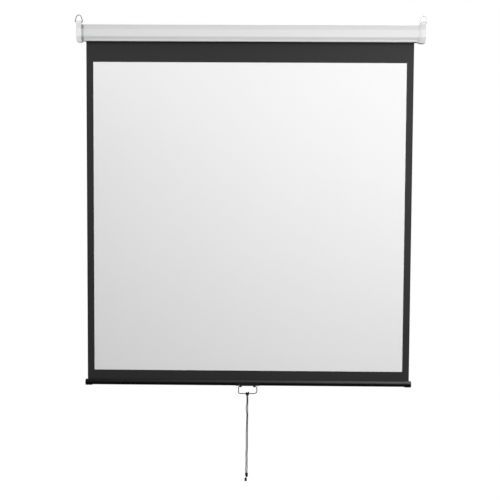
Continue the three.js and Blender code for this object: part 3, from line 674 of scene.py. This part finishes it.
def smooth_line(points: list[Vector], step: float) -> list[Vector]:
    """A smooth curve through the points, in even short steps.

    Args:
        points: What the curve passes through.
        step: The longest step along it.

    Returns:
        The curve's points, from the first point to the last.
    """
    line = [points[0]]
    padded = [points[0] * 2 - points[1], *points, points[-1] * 2 - points[-2]]
    for before, start, end, after in zip(padded, padded[1:], padded[2:], padded[3:]):
        legs = ((before, start), (start, end), (end, after))
        first, middle, last = ((b - a).length ** 0.5 for a, b in legs)
        leave = (start - before) / first - (end - before) / (first + middle) + (end - start) / middle
        arrive = (end - start) / middle - (after - start) / (middle + last) + (after - end) / last
        leave, arrive = leave * middle, arrive * middle
        count = max(1, math.ceil((end - start).length / step))
        for i in range(1, count + 1):
            t = i / count
            line.append(
                start * (2 * t**3 - 3 * t**2 + 1)
                + leave * (t**3 - 2 * t**2 + t)
                + end * (3 * t**2 - 2 * t**3)
                + arrive * (t**3 - t**2)
            )
    return line


def skin(rings: int, size: int, closed: bool = False) -> Faces:
    """The faces that join rings of points, with a face over each end unless it is closed.

    Args:
        rings: How many rings there are.
        size: Points to a ring.
        closed: Whether the last ring joins the first.

    Returns:
        The faces, ring by ring, and the ends last.
    """
    faces = []
    for i in range(rings if closed else rings - 1):
        here, there = i * size, (i + 1) % rings * size
        for j in range(size):
            k = (j + 1) % size
            faces.append((here + j, here + k, there + k, there + j))
    if not closed:
        faces += [tuple(reversed(range(size))), tuple(range((rings - 1) * size, rings * size))]
    return faces


def add_tube(name: str, line: list[Vector], radius: float, sides: int = 14, closed: bool = False) -> Object:
    """A round tube along a line, with a UV map that runs round it and along it in metres.

    Args:
        name: The piece's name.
        line: The tube's ring centres.
        radius: Its radius.
        sides: Sides of its section.
        closed: Whether its end joins its start.

    Returns:
        The new object.
    """
    start, end = (line[-1], line[0]) if closed else (line[0], line[-1])
    padded = [start, *line, end]
    across = Vector((1, 0, 0))
    points: list[Vector] = []
    for before, centre, after in zip(padded, line, padded[2:]):
        tangent = (after - before).normalized()
        across = (across - tangent * across.dot(tangent)).normalized()
        up = tangent.cross(across)
        for j in range(sides):
            turn = FULL_TURN * j / sides
            points.append(centre + (across * math.cos(turn) + up * math.sin(turn)) * radius)
    made = add_piece(name, points, skin(len(line), sides, closed))
    lengths = [0.0]
    for a, b in zip(line, [*line[1:], line[0]]):
        lengths.append(lengths[-1] + (b - a).length)
    layer = made.data.uv_layers.new(name="along")
    for index, face in enumerate(made.data.polygons):
        ring, side = divmod(index, sides)
        corners = ((side, ring), (side + 1, ring), (side + 1, ring + 1), (side, ring + 1))
        for loop, (u, v) in zip(face.loop_indices, corners):
            layer.data[loop].uv = (u / sides, lengths[min(v, len(lengths) - 1)])
    return made


def add_profile(name: str, section: Outline, stations: list[float]) -> Object:
    """A piece whose closed section in Y and Z runs along X, with a ring of points at each station."""
    points = [Vector((x, y, z)) for x in stations for y, z in section]
    return add_piece(name, points, skin(len(stations), len(section)))


def thick_line(line: Outline, thickness: float) -> Outline:
    """The outline of a strip.

    Args:
        line: The way that its middle follows.
        thickness: Its thickness.

    Returns:
        The closed outline, up one side and back down the other.
    """
    left, right = [], []
    for i, (y, z) in enumerate(line):
        before, after = line[max(i - 1, 0)], line[min(i + 1, len(line) - 1)]
        along = Vector((after[0] - before[0], after[1] - before[1])).normalized() * (thickness / 2)
        left.append((y - along.y, z + along.x))
        right.append((y + along.y, z - along.x))
    return left + right[::-1]


def steps(start: float, end: float, count: int) -> list[float]:
    """Count + 1 even steps from start to end."""
    return [start + (end - start) * i / count for i in range(count + 1)]


# Sub-assemblies


@dataclass
class SubAssembly:
    """Pieces that belong together.

    Attributes:
    """

    frame: dict

    def paint(self, piece: Object, *finishes: Finish) -> None:
        """Gives a piece its finishes and no others.

        Args:
            piece: The piece.
            finishes: The finishes, in the order of its faces' material numbers.
        """
        piece.data.materials.clear()
        for finish in finishes:
            piece.data.materials.append(finish.material())
            log.info("%s: %s", piece.name, finish.name)

    def dress(self, piece: Object, finish: Finish, body: str) -> None:
        """Gives a new piece its look and its body.

        Args:
            piece: The piece.
            finish: Its finish.
            body: The body that it rides on.
        """
        self.paint(piece, finish)
        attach(piece, body)

    def carry(self, finish: Finish, *nodes: str) -> None:
        """Keeps CAD nodes as they are, with a finish."""
        for name in nodes:
            self.paint(self.frame["nodes"][name], finish)

    def refine(self, finish: Finish, body: str, soften: Soften, *nodes: str) -> None:
        """Replaces CAD nodes by copies with softened edges.

        Args:
            finish: The copies' finish.
            body: The body that they ride on.
            soften: How their edges are softened.
            nodes: The CAD nodes.
        """
        width, levels = soften.value
        for name in nodes:
            piece = self.shell(name, join_flats=not levels)
            if width:
                bevel = piece.modifiers.new("edges", "BEVEL")
                bevel.width = width
                bevel.segments = BEVEL_SEGMENTS
                bevel.limit_method = "ANGLE"
                bevel.angle_limit = BEVEL_ANGLE
                flats = piece.modifiers.new("flats", "WEIGHTED_NORMAL")
                flats.keep_sharp = True
            if levels:
                rounder = piece.modifiers.new("round", "SUBSURF")
                rounder.levels = levels
                rounder.render_levels = levels
            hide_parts(name)
            self.dress(piece, finish, body)

    def shell(self, name: str, join_flats: bool) -> Object:
        """Copies a CAD node as one clean surface.

        Args:
            name: The node.
            join_flats: Whether faces in one plane are joined.

        Returns:
            The copy.
        """
        shape = bmesh.new()
        shape.from_mesh(self.frame["nodes"][name].data)
        bmesh.ops.remove_doubles(shape, verts=shape.verts, dist=MERGE_DISTANCE)
        if join_flats:
            bmesh.ops.dissolve_limit(shape, angle_limit=FLAT_ANGLE, verts=shape.verts, edges=shape.edges)
        bmesh.ops.recalc_face_normals(shape, faces=shape.faces)
        mesh = bpy.data.meshes.new(f"{name}_shell")
        shape.to_mesh(mesh)
        shape.free()
        if "custom_normal" in mesh.attributes:
            mesh.attributes.remove(mesh.attributes["custom_normal"])
        mesh.shade_smooth()
        mesh.set_sharp_from_angle(angle=BEVEL_ANGLE)
        return add_object(f"{name}_shell", mesh)


@dataclass(frozen=True)
class Knot:
    """An overhand knot pulled tight, along a trefoil curve, in millimetres.

    Attributes:
        name: The piece's name.
        x: Its middle, along the handle's bar.
        width: Its outside width.
        height: Its outside height.
        rope: Radius of the rope that it is tied in.
        turn: Degrees that it is turned about its upright axis.
        points: Points along the curve.
        depth_share: Its depth as a share of its width.
        unit_half: Half of the unit curve's width.
        unit_height: The unit curve's height.
        unit_top: How much of that is above its middle.
    """

    name: str
    x: float
    width: float
    height: float
    rope: float
    turn: float
    points: int = 96
    depth_share: float = 0.95
    unit_half: float = 2.74
    unit_height: float = 5.06
    unit_top: float = 2.06

    def curve(self, top: float) -> list[Vector]:
        """The rope's middle.

        Args:
            top: Z of the knot's outside at its top.

        Returns:
            The curve's points.
        """
        across = (self.width / 2 - self.rope) / self.unit_half
        upright = (self.height - self.rope * 2) / self.unit_height
        deep = (self.width / 2 - self.rope) * self.depth_share
        middle = Vector((self.x, 0, top - self.rope - self.unit_top * upright))
        spin = Matrix.Rotation(math.radians(self.turn), 3, "Z")
        line = []
        for i in range(self.points):
            t = FULL_TURN * i / self.points
            aside = across * (math.sin(t) + 2 * math.sin(2 * t))
            up = upright * (math.cos(t) - 2 * math.cos(2 * t))
            line.append(middle + spin @ Vector((aside, deep * math.sin(3 * t), up)))
        return line


@dataclass
class PullCord(SubAssembly):
    """The doubled cord: a hitch on the handle's bar, two strands, and two knots.

    Its places are in millimetres from the middle of the hitch.

    Attributes:
        origin: The middle of the hitch, on the bar's axis, in metres.
        radius: The cord's radius.
        gap: Between pieces that touch.
        fine_step: From ring to ring of a tight bend.
        strand_step: The same along the strands.
        knot_sides: Sides of the knots' section.
        hitch_drop: The hitch's underside, below the bar's axis.
        hitch_stop: How far above it the hitch's two ends stop.
        course: X of the two strands' middle, how far each stands off from it past their common
            gap, Y of the left one and the other way for the right one, and the drop below the hitch.
        tail: The single end between the knots, from the first one's underside.
        wrap: Radius of the hitch's wraps round the bar.
        pitch: From wrap to wrap along the bar.
        turned: Degrees that each side is wound, from the back over the top.
        wrap_step: Degrees from point to point of the wraps.
        rise: How much higher the right side's last wrap rides.
        fall: A side's way from its strand up to the bar's back.
        bight: The loop across the front, from a side's last wrap to the middle.
        knot: The knot below the strands.
        end_knot: The knot below the tail.
    """

    origin: Point = (-2.5 * MM, -14.5875 * MM, -1661.05 * MM)
    radius: float = 2
    gap: float = 0.3
    fine_step: float = 0.8
    strand_step: float = 2.5
    knot_sides: int = 12
    hitch_drop: float = 16
    hitch_stop: float = 0.1
    course: tuple[tuple[float, float, float, float], ...] = (
        (0, 0, 0, 0),
        (0.3, 0, 0.3, 13),
        (0.3, 0, 0.6, 26),
        (-0.4, 0.3, 0.6, 36),
        (-1.7, 1, 0.5, 46),
        (-1.9, 1.1, 0.3, 55),
        (-1.1, 0.8, 0, 65),
        (-0.2, 0.1, -0.4, 74),
        (0.4, 0, -0.6, 83),
        (0.1, 0, -0.5, 95),
        (-0.3, 0.2, -0.2, 112),
        (-0.7, 0.2, 0.2, 131),
        (-1, 0.5, 0.4, 150),
        (-1.4, 0.8, 0.5, 169),
        (-1.5, 0.7, 0.4, 197),
        (-1.2, 0.7, 0, 226),
        (-1.4, 0.7, -0.3, 247),
        (-2.3, 0.5, -0.4, 264),
        (-2.5, 0.4, -0.4, 278),
        (-2, 0.7, -0.2, 297),
        (-2.3, 0.4, 0.1, 316),
        (-2.2, 0.7, 0.3, 331),
        (-2.8, 1, 0.3, 346),
        (-2.7, 0.4, 0.1, 355),
        (-2.5, 0, 0, 359.8),
    )
    tail: tuple[Point, ...] = (
        (-2.9, 0, 0),
        (-2.9, 0, -0.7),
        (-4.3, 0.2, -2.2),
        (-5.7, 0.1, -3.6),
        (-5.7, 0, -4.3),
    )
    wrap: float = 4.4
    pitch: float = 2.8
    turned: int = 540
    wrap_step: int = 30
    rise: float = 2.4
    fall: tuple[Point, ...] = ((2.15, 0.6, -12), (2.05, 1.8, -8), (2, 3.9, -3.5))
    bight: tuple[Point, ...] = ((5.6, -5.2, -4), (3.4, -5.8, -5.9), (0, -6.1, -6.7))
    knot: Knot = Knot("cord_knot_tied", -1.8, 15.8, 20, 3.1, 20)
    end_knot: Knot = Knot("cord_end_knot_tied", -5.8, 12, 16, 2.5, 65)

    def in_frame(self, places: list[Point]) -> list[Vector]:
        """The places in the frame, in metres."""
        return [Vector(self.origin) + Vector(place) * MM for place in places]

    def route(self, places: list[Point], step: float) -> list[Vector]:
        """A smooth line in the frame, through places, with about a step between its points."""
        return smooth_line(self.in_frame(places), step * MM)

    def strand(self, side: int) -> list[Vector]:
        """One strand's route.

        Args:
            side: -1 for the left strand, 1 for the right one.

        Returns:
            Its points in the frame, from the hitch down.
        """
        off = self.radius + self.gap / 2
        places = [
            (x + side * (off + apart), -side * y, -self.hitch_drop - self.gap - down)
            for x, apart, y, down in self.course
        ]
        return self.route(places, self.strand_step)

    def hitch_side(self, side: int) -> list[Point]:
        """One side of the hitch.

        Args:
            side: -1 for the left side, 1 for the right one.

        Returns:
            Its places, from its strand up the back, round the bar and to the front's middle.
        """
        rise = self.rise if side > 0 else 0.0
        ends = [(side * (self.radius + self.gap / 2), 0, self.hitch_stop - self.hitch_drop)]
        ends += [(side * x, y, z) for x, y, z in self.fall]
        wraps = []
        for angle in range(0, self.turned + 1, self.wrap_step):
            turn = math.radians(angle - 90)
            x = side * (self.radius + self.pitch * angle / 360)
            lift = rise * max(0.0, math.cos(turn)) if angle > 360 else 0.0
            wraps.append((x, -self.wrap * math.sin(turn), self.wrap * math.cos(turn) + lift))
        return [*ends, *wraps, *[(side * x, y, z) for x, y, z in self.bight]]

    def tie(self, knot: Knot, top: float) -> Object:
        """Ties a knot with its top at that height."""
        line = self.in_frame(knot.curve(top))
        return add_tube(knot.name, line, knot.rope * MM, self.knot_sides, closed=True)

    def build(self) -> None:
        """Builds the cord's pieces."""
        left, right = self.hitch_side(-1), self.hitch_side(1)
        wound = self.route([*left, *reversed(right[:-1])], self.fine_step)
        hitch = add_tube("cord_hitch_tied", wound, self.radius * MM)
        knot_top = -self.hitch_drop - self.gap - self.course[-1][-1] - self.gap
        tail_top = knot_top - self.knot.height - self.gap
        end_knot_top = tail_top + self.tail[-1][-1] - self.gap
        knot, end_knot = self.tie(self.knot, knot_top), self.tie(self.end_knot, end_knot_top)
        tail_line = self.route([(x, y, tail_top + z) for x, y, z in self.tail], self.fine_step)
        tail = add_tube("cord_tail_run", tail_line, self.radius * MM)
        pieces = {"cord_hitch": hitch, "cord_knot": knot, "cord_end_knot": end_knot, "cord_tail": tail}
        for node, piece in pieces.items():
            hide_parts(node)
            self.dress(piece, CORD_BRAID, "pull_cord")
        for name, side, on_it in (("a", -1, [hitch]), ("b", 1, [knot, tail, end_knot])):
            line = self.strand(side)
            strand = add_tube(f"cord_strand_{name}_run", line, self.radius * MM)
            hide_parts(f"cord_strand_{name}")
            self.dress(strand, CORD_BRAID, "pull_cord")
            sum((b - a).length for a, b in zip(line, line[1:]))


@dataclass
class ProjectionFabric(SubAssembly):
    """The hanging cloth, its roll and its hem.

    Attributes:
        half_width: Half of the cloth's width.
        picture_half: Half of the white picture's width.
        front: The border's front face.
        back: The cloth's back face.
        top: Where the hanging cloth leaves the roll.
        picture_top: The picture's upper edge.
        picture_bottom: The picture's lower edge.
        bottom: Where the cloth meets the hem.
        thickness: One layer's thickness.
        ink: Thickness of the printed border.
        border_steps: Faces across each side of the border.
        lead_steps: Faces down the border above the picture.
        picture_steps: Faces across the picture, and down it.
        hem_loop: Radius of the loop round the hem's rod, to the cloth's middle.
        hem_axis: The rod's axis.
        hem_gap: How far each of the hem's faces stands back from the next layer's.
        hem_steps: Faces round the loop.
        roll_axis: The roller's axis in Y.
        roll_inner: The roll's first radius.
        roll_turns: Turns on the roller.
        roll_pitch: Distance from turn to turn.
        roll_lift: How far the last turn's end stands off the roll, on its way to the hanging cloth.
        lift_turns: The part of a turn over which it lifts.
        roll_steps: Faces round the roll's turns.
        long_steps: Faces along the roll and the hem.
    """

    half_width: float = 750 * MM
    picture_half: float = 718 * MM
    front: float = -14.8875 * MM
    back: float = -14.3875 * MM
    top: float = -0.3 * MM
    picture_top: float = -127.85 * MM
    picture_bottom: float = -1552.85 * MM
    bottom: float = -1567.85 * MM
    thickness: float = 0.4 * MM
    ink: float = 0.1 * MM
    border_steps: int = 2
    lead_steps: int = 4
    picture_steps: int = 30
    hem_loop: float = 3.5 * MM
    hem_axis: float = -1603.35 * MM
    hem_gap: float = 0.01 * MM
    hem_steps: int = 40
    roll_axis: float = -36 * MM
    roll_inner: float = 19.3 * MM
    roll_turns: float = 2.25
    roll_pitch: float = 0.62 * MM
    roll_lift: float = 0.5175 * MM
    lift_turns: float = 0.25
    roll_steps: int = 200
    long_steps: int = 12

    def build(self) -> None:
        """Builds the cloth's pieces."""
        self.make_sheet(self.make_roll(), self.make_hem())

    def printed(self, columns: list[float], rows: list[float]) -> tuple[Faces, list[ClothFace]]:
        """The faces of a sheet, whose front's points come before its back's.

        Args:
            columns: Every X at which the sheet has points.
            rows: Every Z at which it has points.

        Returns:
            The faces, and the material of each.
        """
        wide = len(columns)
        layer = wide * len(rows)
        faces, looks = [], []
        for i, (top, foot) in enumerate(zip(rows, rows[1:])):
            for j, (left, right) in enumerate(zip(columns, columns[1:])):
                x, z = (left + right) / 2, (top + foot) / 2
                shown = abs(x) < self.picture_half and self.picture_bottom < z < self.picture_top
                corner = i * wide + j
                behind = corner + layer
                faces.append((corner, corner + wide, corner + wide + 1, corner + 1))
                faces.append((behind, behind + 1, behind + wide + 1, behind + wide))
                looks += [ClothFace.PICTURE if shown else ClothFace.BORDER, ClothFace.BACK]
        rim = [
            *range(wide),
            *range(2 * wide - 1, layer, wide),
            *range(layer - 2, layer - wide - 1, -1),
            *range(layer - 2 * wide, 0, -wide),
        ]
        faces += [(a, b, b + layer, a + layer) for a, b in zip(rim, [*rim[1:], rim[0]])]
        looks += [ClothFace.BORDER] * len(rim)
        return faces, looks

    def make_sheet(self, roll: Object, hem: Object) -> None:
        """Hangs the cloth, with the border printed round the picture on its front.

        Args:
            roll: The turns that it comes off; not used.
            hem: The strip that it ends in; not used.
        """
        columns = [
            *steps(-self.half_width, -self.picture_half, self.border_steps)[:-1],
            *steps(-self.picture_half, self.picture_half, self.picture_steps)[:-1],
            *steps(self.picture_half, self.half_width, self.border_steps),
        ]
        rows = [
            *steps(self.top, self.picture_top, self.lead_steps)[:-1],
            *steps(self.picture_top, self.picture_bottom, self.picture_steps),
            self.bottom,
        ]
        points = [Vector((x, y, z)) for y in (self.front, self.back) for z in rows for x in columns]
        faces, looks = self.printed(columns, rows)
        sheet = add_piece("projection_cloth", points, faces, smooth=False)
        self.dress(sheet, PICTURE_CLOTH, "housing")
        self.paint(sheet, PICTURE_CLOTH, BORDER_CLOTH, BACK_CLOTH)
        sheet.data.polygons.foreach_set("material_index", looks)
        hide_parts("screen_sheet", "mask_border")
        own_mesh(sheet)

    def full_width(self, name: str, line: Outline, thickness: float) -> Object:
        """A strip of cloth, as wide as the screen, whose middle follows a line in Y and Z."""
        stations = steps(-self.half_width, self.half_width, self.long_steps)
        return add_profile(name, thick_line(line, thickness), stations)

    def make_roll(self) -> Object:
        """Winds the turns that stay on the roller.

        Returns:
            The roll.
        """
        line = []
        for turns in steps(0.0, self.roll_turns, self.roll_steps):
            lift = self.roll_lift * max(0.0, 1 - turns / self.lift_turns) ** 2
            wound = self.roll_inner + (self.roll_turns - turns) * self.roll_pitch
            reach = wound + self.thickness / 2 + lift
            turn = FULL_TURN * turns
            line.append((self.roll_axis + reach * math.cos(turn), reach * math.sin(turn)))
        roll = self.full_width("cloth_roll", line, self.thickness)
        self.dress(roll, BACK_CLOTH, "roller")
        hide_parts("fabric_roll")
        return roll

    def make_hem(self) -> Object:
        """Folds the doubled strip above the batten and its loop round the rod.

        Returns:
            The hem.
        """
        middle = (self.front + self.ink + self.back) / 2
        half = self.thickness / 2
        top = FULL_TURN / 4
        open_half = math.asin(half / self.hem_loop)
        loop = [
            (middle + self.hem_loop * math.cos(turn), self.hem_axis + self.hem_loop * math.sin(turn))
            for turn in steps(top + open_half, top + FULL_TURN - open_half, self.hem_steps)
        ]
        line = [(middle - half, self.bottom), *loop, (middle + half, self.bottom)]
        hem = self.full_width("cloth_hem", line, self.thickness - self.hem_gap * 2)
        self.dress(hem, BORDER_CLOTH, "batten")
        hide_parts("fabric_hem")
        return hem


@dataclass
class Casing(SubAssembly):
    """The painted casing, its two end caps, their screws and the hanging rings."""

    def build(self) -> None:
        """Dresses the casing's pieces."""
        self.refine(CASING_PAINT, "housing", Soften.EDGE, "casing")
        self.refine(LIT_IDLER_CAP, "housing", Soften.MOULDED, "left_end_cap")
        self.refine(SHADED_DRIVE_CAP, "housing", Soften.MOULDED, "right_end_cap")
        screws = [f"cap_screw_{side}_{row}" for side in ("left", "right") for row in ("front", "back")]
        self.refine(ZINC, "housing", Soften.CRISP, *screws)
        self.refine(SHADED_RING, "left_ring", Soften.WIRE, "left_hanging_ring")
        self.refine(LIT_RING, "right_ring", Soften.WIRE, "right_hanging_ring")


@dataclass
class Roller(SubAssembly):
    """The roller, its bearings, its spring and its lock."""

    def build(self) -> None:
        """Dresses the pieces inside the casing."""
        self.carry(ALUMINIUM, "roller_tube")
        self.carry(NYLON, "fabric_spline", "idler_bush", "spring_mandrel")
        self.carry(BLACK_PLASTIC, "idler_plug", "drive_plug", "spring_anchor")
        self.carry(SPRING_STEEL, "torsion_spring")
        self.carry(ZINC, "idler_pin", "idler_plate", "tang_plate", "tang_shaft")
        self.carry(ZINC, "lock_ratchet", "pawl_cover", "pawl_pin_a", "pawl_pin_b", "pawl_a", "pawl_b")


@dataclass
class Batten(SubAssembly):
    """The batten, its caps, and the bracket that carries the wire handle."""

    def build(self) -> None:
        """Dresses the batten's pieces."""
        self.refine(BATTEN_PAINT, "batten", Soften.CRISP, "batten_tube")
        self.refine(BATTEN_CAP, "batten", Soften.MOULDED, "left_batten_cap", "right_batten_cap")
        self.refine(BLACK_PLASTIC, "batten", Soften.EDGE, "handle_bracket")
        self.refine(BATTEN_PAINT, "batten", Soften.CRISP, "bracket_rivet_left", "bracket_rivet_right")
        self.carry(ZINC, "hem_rod")
        self.refine(HANDLE_WIRE, "handle", Soften.WIRE, "handle_bail")


# Studio


@dataclass(frozen=True)
class Viewpoint:
    """The photograph's camera.

    Attributes:
        position: Where it stands.
        turn: Degrees that it is turned to the left.
        tilt: Degrees that it looks down.
        roll: Degrees that it leans.
        focal_pixels: Its focal length in pixels of the frame.
        frame_pixels: The frame's width in pixels.
        sensor: Its sensor's width in millimetres.
        reach: How far it sees.
    """

    position: Point = (0.07405, -4.92553, -0.64752)
    turn: float = 0.7948
    tilt: float = 3.9655
    roll: float = -0.3287
    focal_pixels: float = 1062.3
    frame_pixels: float = 500
    sensor: float = 36
    reach: float = 200

    def build(self) -> None:
        """Creates the camera and makes it the scene's."""
        data = bpy.data.cameras.new("view")
        data.sensor_width = self.sensor
        data.lens = self.sensor * self.focal_pixels / self.frame_pixels
        data.clip_end = self.reach
        camera = add_object("view", data)
        aim = (
            Matrix.Rotation(math.radians(self.turn), 4, "Z")
            @ Matrix.Rotation(math.radians(90 - self.tilt), 4, "X")
            @ Matrix.Rotation(math.radians(-self.roll), 4, "Z")
        )
        camera.matrix_world = Matrix.Translation(self.position) @ aim
        bpy.context.scene.camera = camera
        log.info("camera at %s", self.position)


@dataclass(frozen=True)
class Softbox:
    """A large soft light.

    Attributes:
        name: Its name.
        position: Where it stands.
        aim: What it points at.
        size: Its side.
        power: Its power in watts.
        spread: Degrees that its beam opens to.
    """

    name: str
    position: Point
    aim: Point
    size: float
    power: float
    spread: float = 180

    def build(self) -> None:
        """Adds the light to the scene."""
        data = bpy.data.lights.new(self.name, "AREA")
        data.size = self.size
        data.energy = self.power
        data.spread = math.radians(self.spread)
        light = add_object(self.name, data)
        direction = Vector(self.aim) - Vector(self.position)
        light.rotation_euler = direction.to_track_quat("-Z", "Y").to_euler()
        light.location = self.position
        log.info("%s: %g W", self.name, self.power)


@dataclass(frozen=True)
class Studio:
    """A white studio: an even sky, soft lights in front, and a pale floor.

    Attributes:
        ambient: The sky's strength as a light.
        floor_level: The floor's height.
        floor_half: Half of the floor's side.
        floor: The floor's own look.
        floor_glow: Strength of the white that the camera adds to it.
        floor_share: The share of that white in what the camera sees of it.
        lights: The softboxes.
    """

    ambient: float = 0.26
    floor_level: float = -2.4
    floor_half: float = 30
    floor: Finish = Finish("floor_white", "", grey(190), 0.9, 0.1)
    floor_glow: float = 1.15
    floor_share: float = 0.85
    lights: tuple[Softbox, ...] = (
        Softbox("key_right", (2.6, -4.2, 0.3), (0.6, 0, 0.1), 2.4, 66.5, 100),
        Softbox("fill_left", (-1.6, -3.4, 0.2), (-0.8, 0, 0.1), 1.6, 6.5, 90),
        Softbox("rim_left", (-2.3, -0.25, 0.05), (-0.78, -0.05, 0), 0.4, 0.55, 35),
        Softbox("back", (-1.4, 3.2, 0.2), (0, 0, -0.6), 2.4, 45, 120),
    )

    def build(self) -> None:
        """Builds the sky, the floor and the lights."""
        self.make_sky()
        self.make_floor()
        for light in self.lights:
            light.build()

    def make_sky(self) -> None:
        """A sky that lights the object evenly, and that is white to the camera and in reflections."""
        world = bpy.data.worlds.new("studio")
        tree = Tree(world)
        white = {"Color": (1, 1, 1)}
        light, backdrop = (
            tree.node("ShaderNodeBackground", values={**white, "Strength": strength}).outputs[0]
            for strength in (self.ambient, 1.0)
        )
        choice = tree.node("ShaderNodeMixShader", values={0: tree.seen(), 1: light, 2: backdrop})
        tree.node("ShaderNodeOutputWorld", values={"Surface": choice.outputs[0]})
        bpy.context.scene.world = world

    def make_floor(self) -> None:
        """A pale floor, as white as the backdrop except in the object's shadow."""
        half, level = self.floor_half, self.floor_level
        square = ((-half, -half), (half, -half), (half, half), (-half, half))
        corners = [Vector((*corner, level)) for corner in square]
        floor = add_piece("floor", corners, [(0, 1, 2, 3)], smooth=False)
        shader = Shader(self.floor.name)
        self.floor.coat(shader, self.floor.colour)
        glow = shader.node("ShaderNodeEmission", values={"Strength": self.floor_glow})
        paint = {0: shader.seen() * self.floor_share, 1: shader.surface.outputs[0], 2: glow.outputs[0]}
        choice = shader.node("ShaderNodeMixShader", values=paint)
        shader.feed(shader.output.inputs[0], choice.outputs[0])
        floor.data.materials.append(shader.material)


def main() -> None:
    """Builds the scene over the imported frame."""
    logging.basicConfig(level=logging.INFO, format="%(message)s")
    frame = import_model()
    scene = bpy.context.scene
    scene.view_settings.view_transform = "Standard"
    Viewpoint().build()
    for kind in (PullCord, ProjectionFabric, Casing, Roller, Batten):
        kind(frame).build()
    Studio().build()
    log.info("size written")


if __name__ == "__main__":
    main()
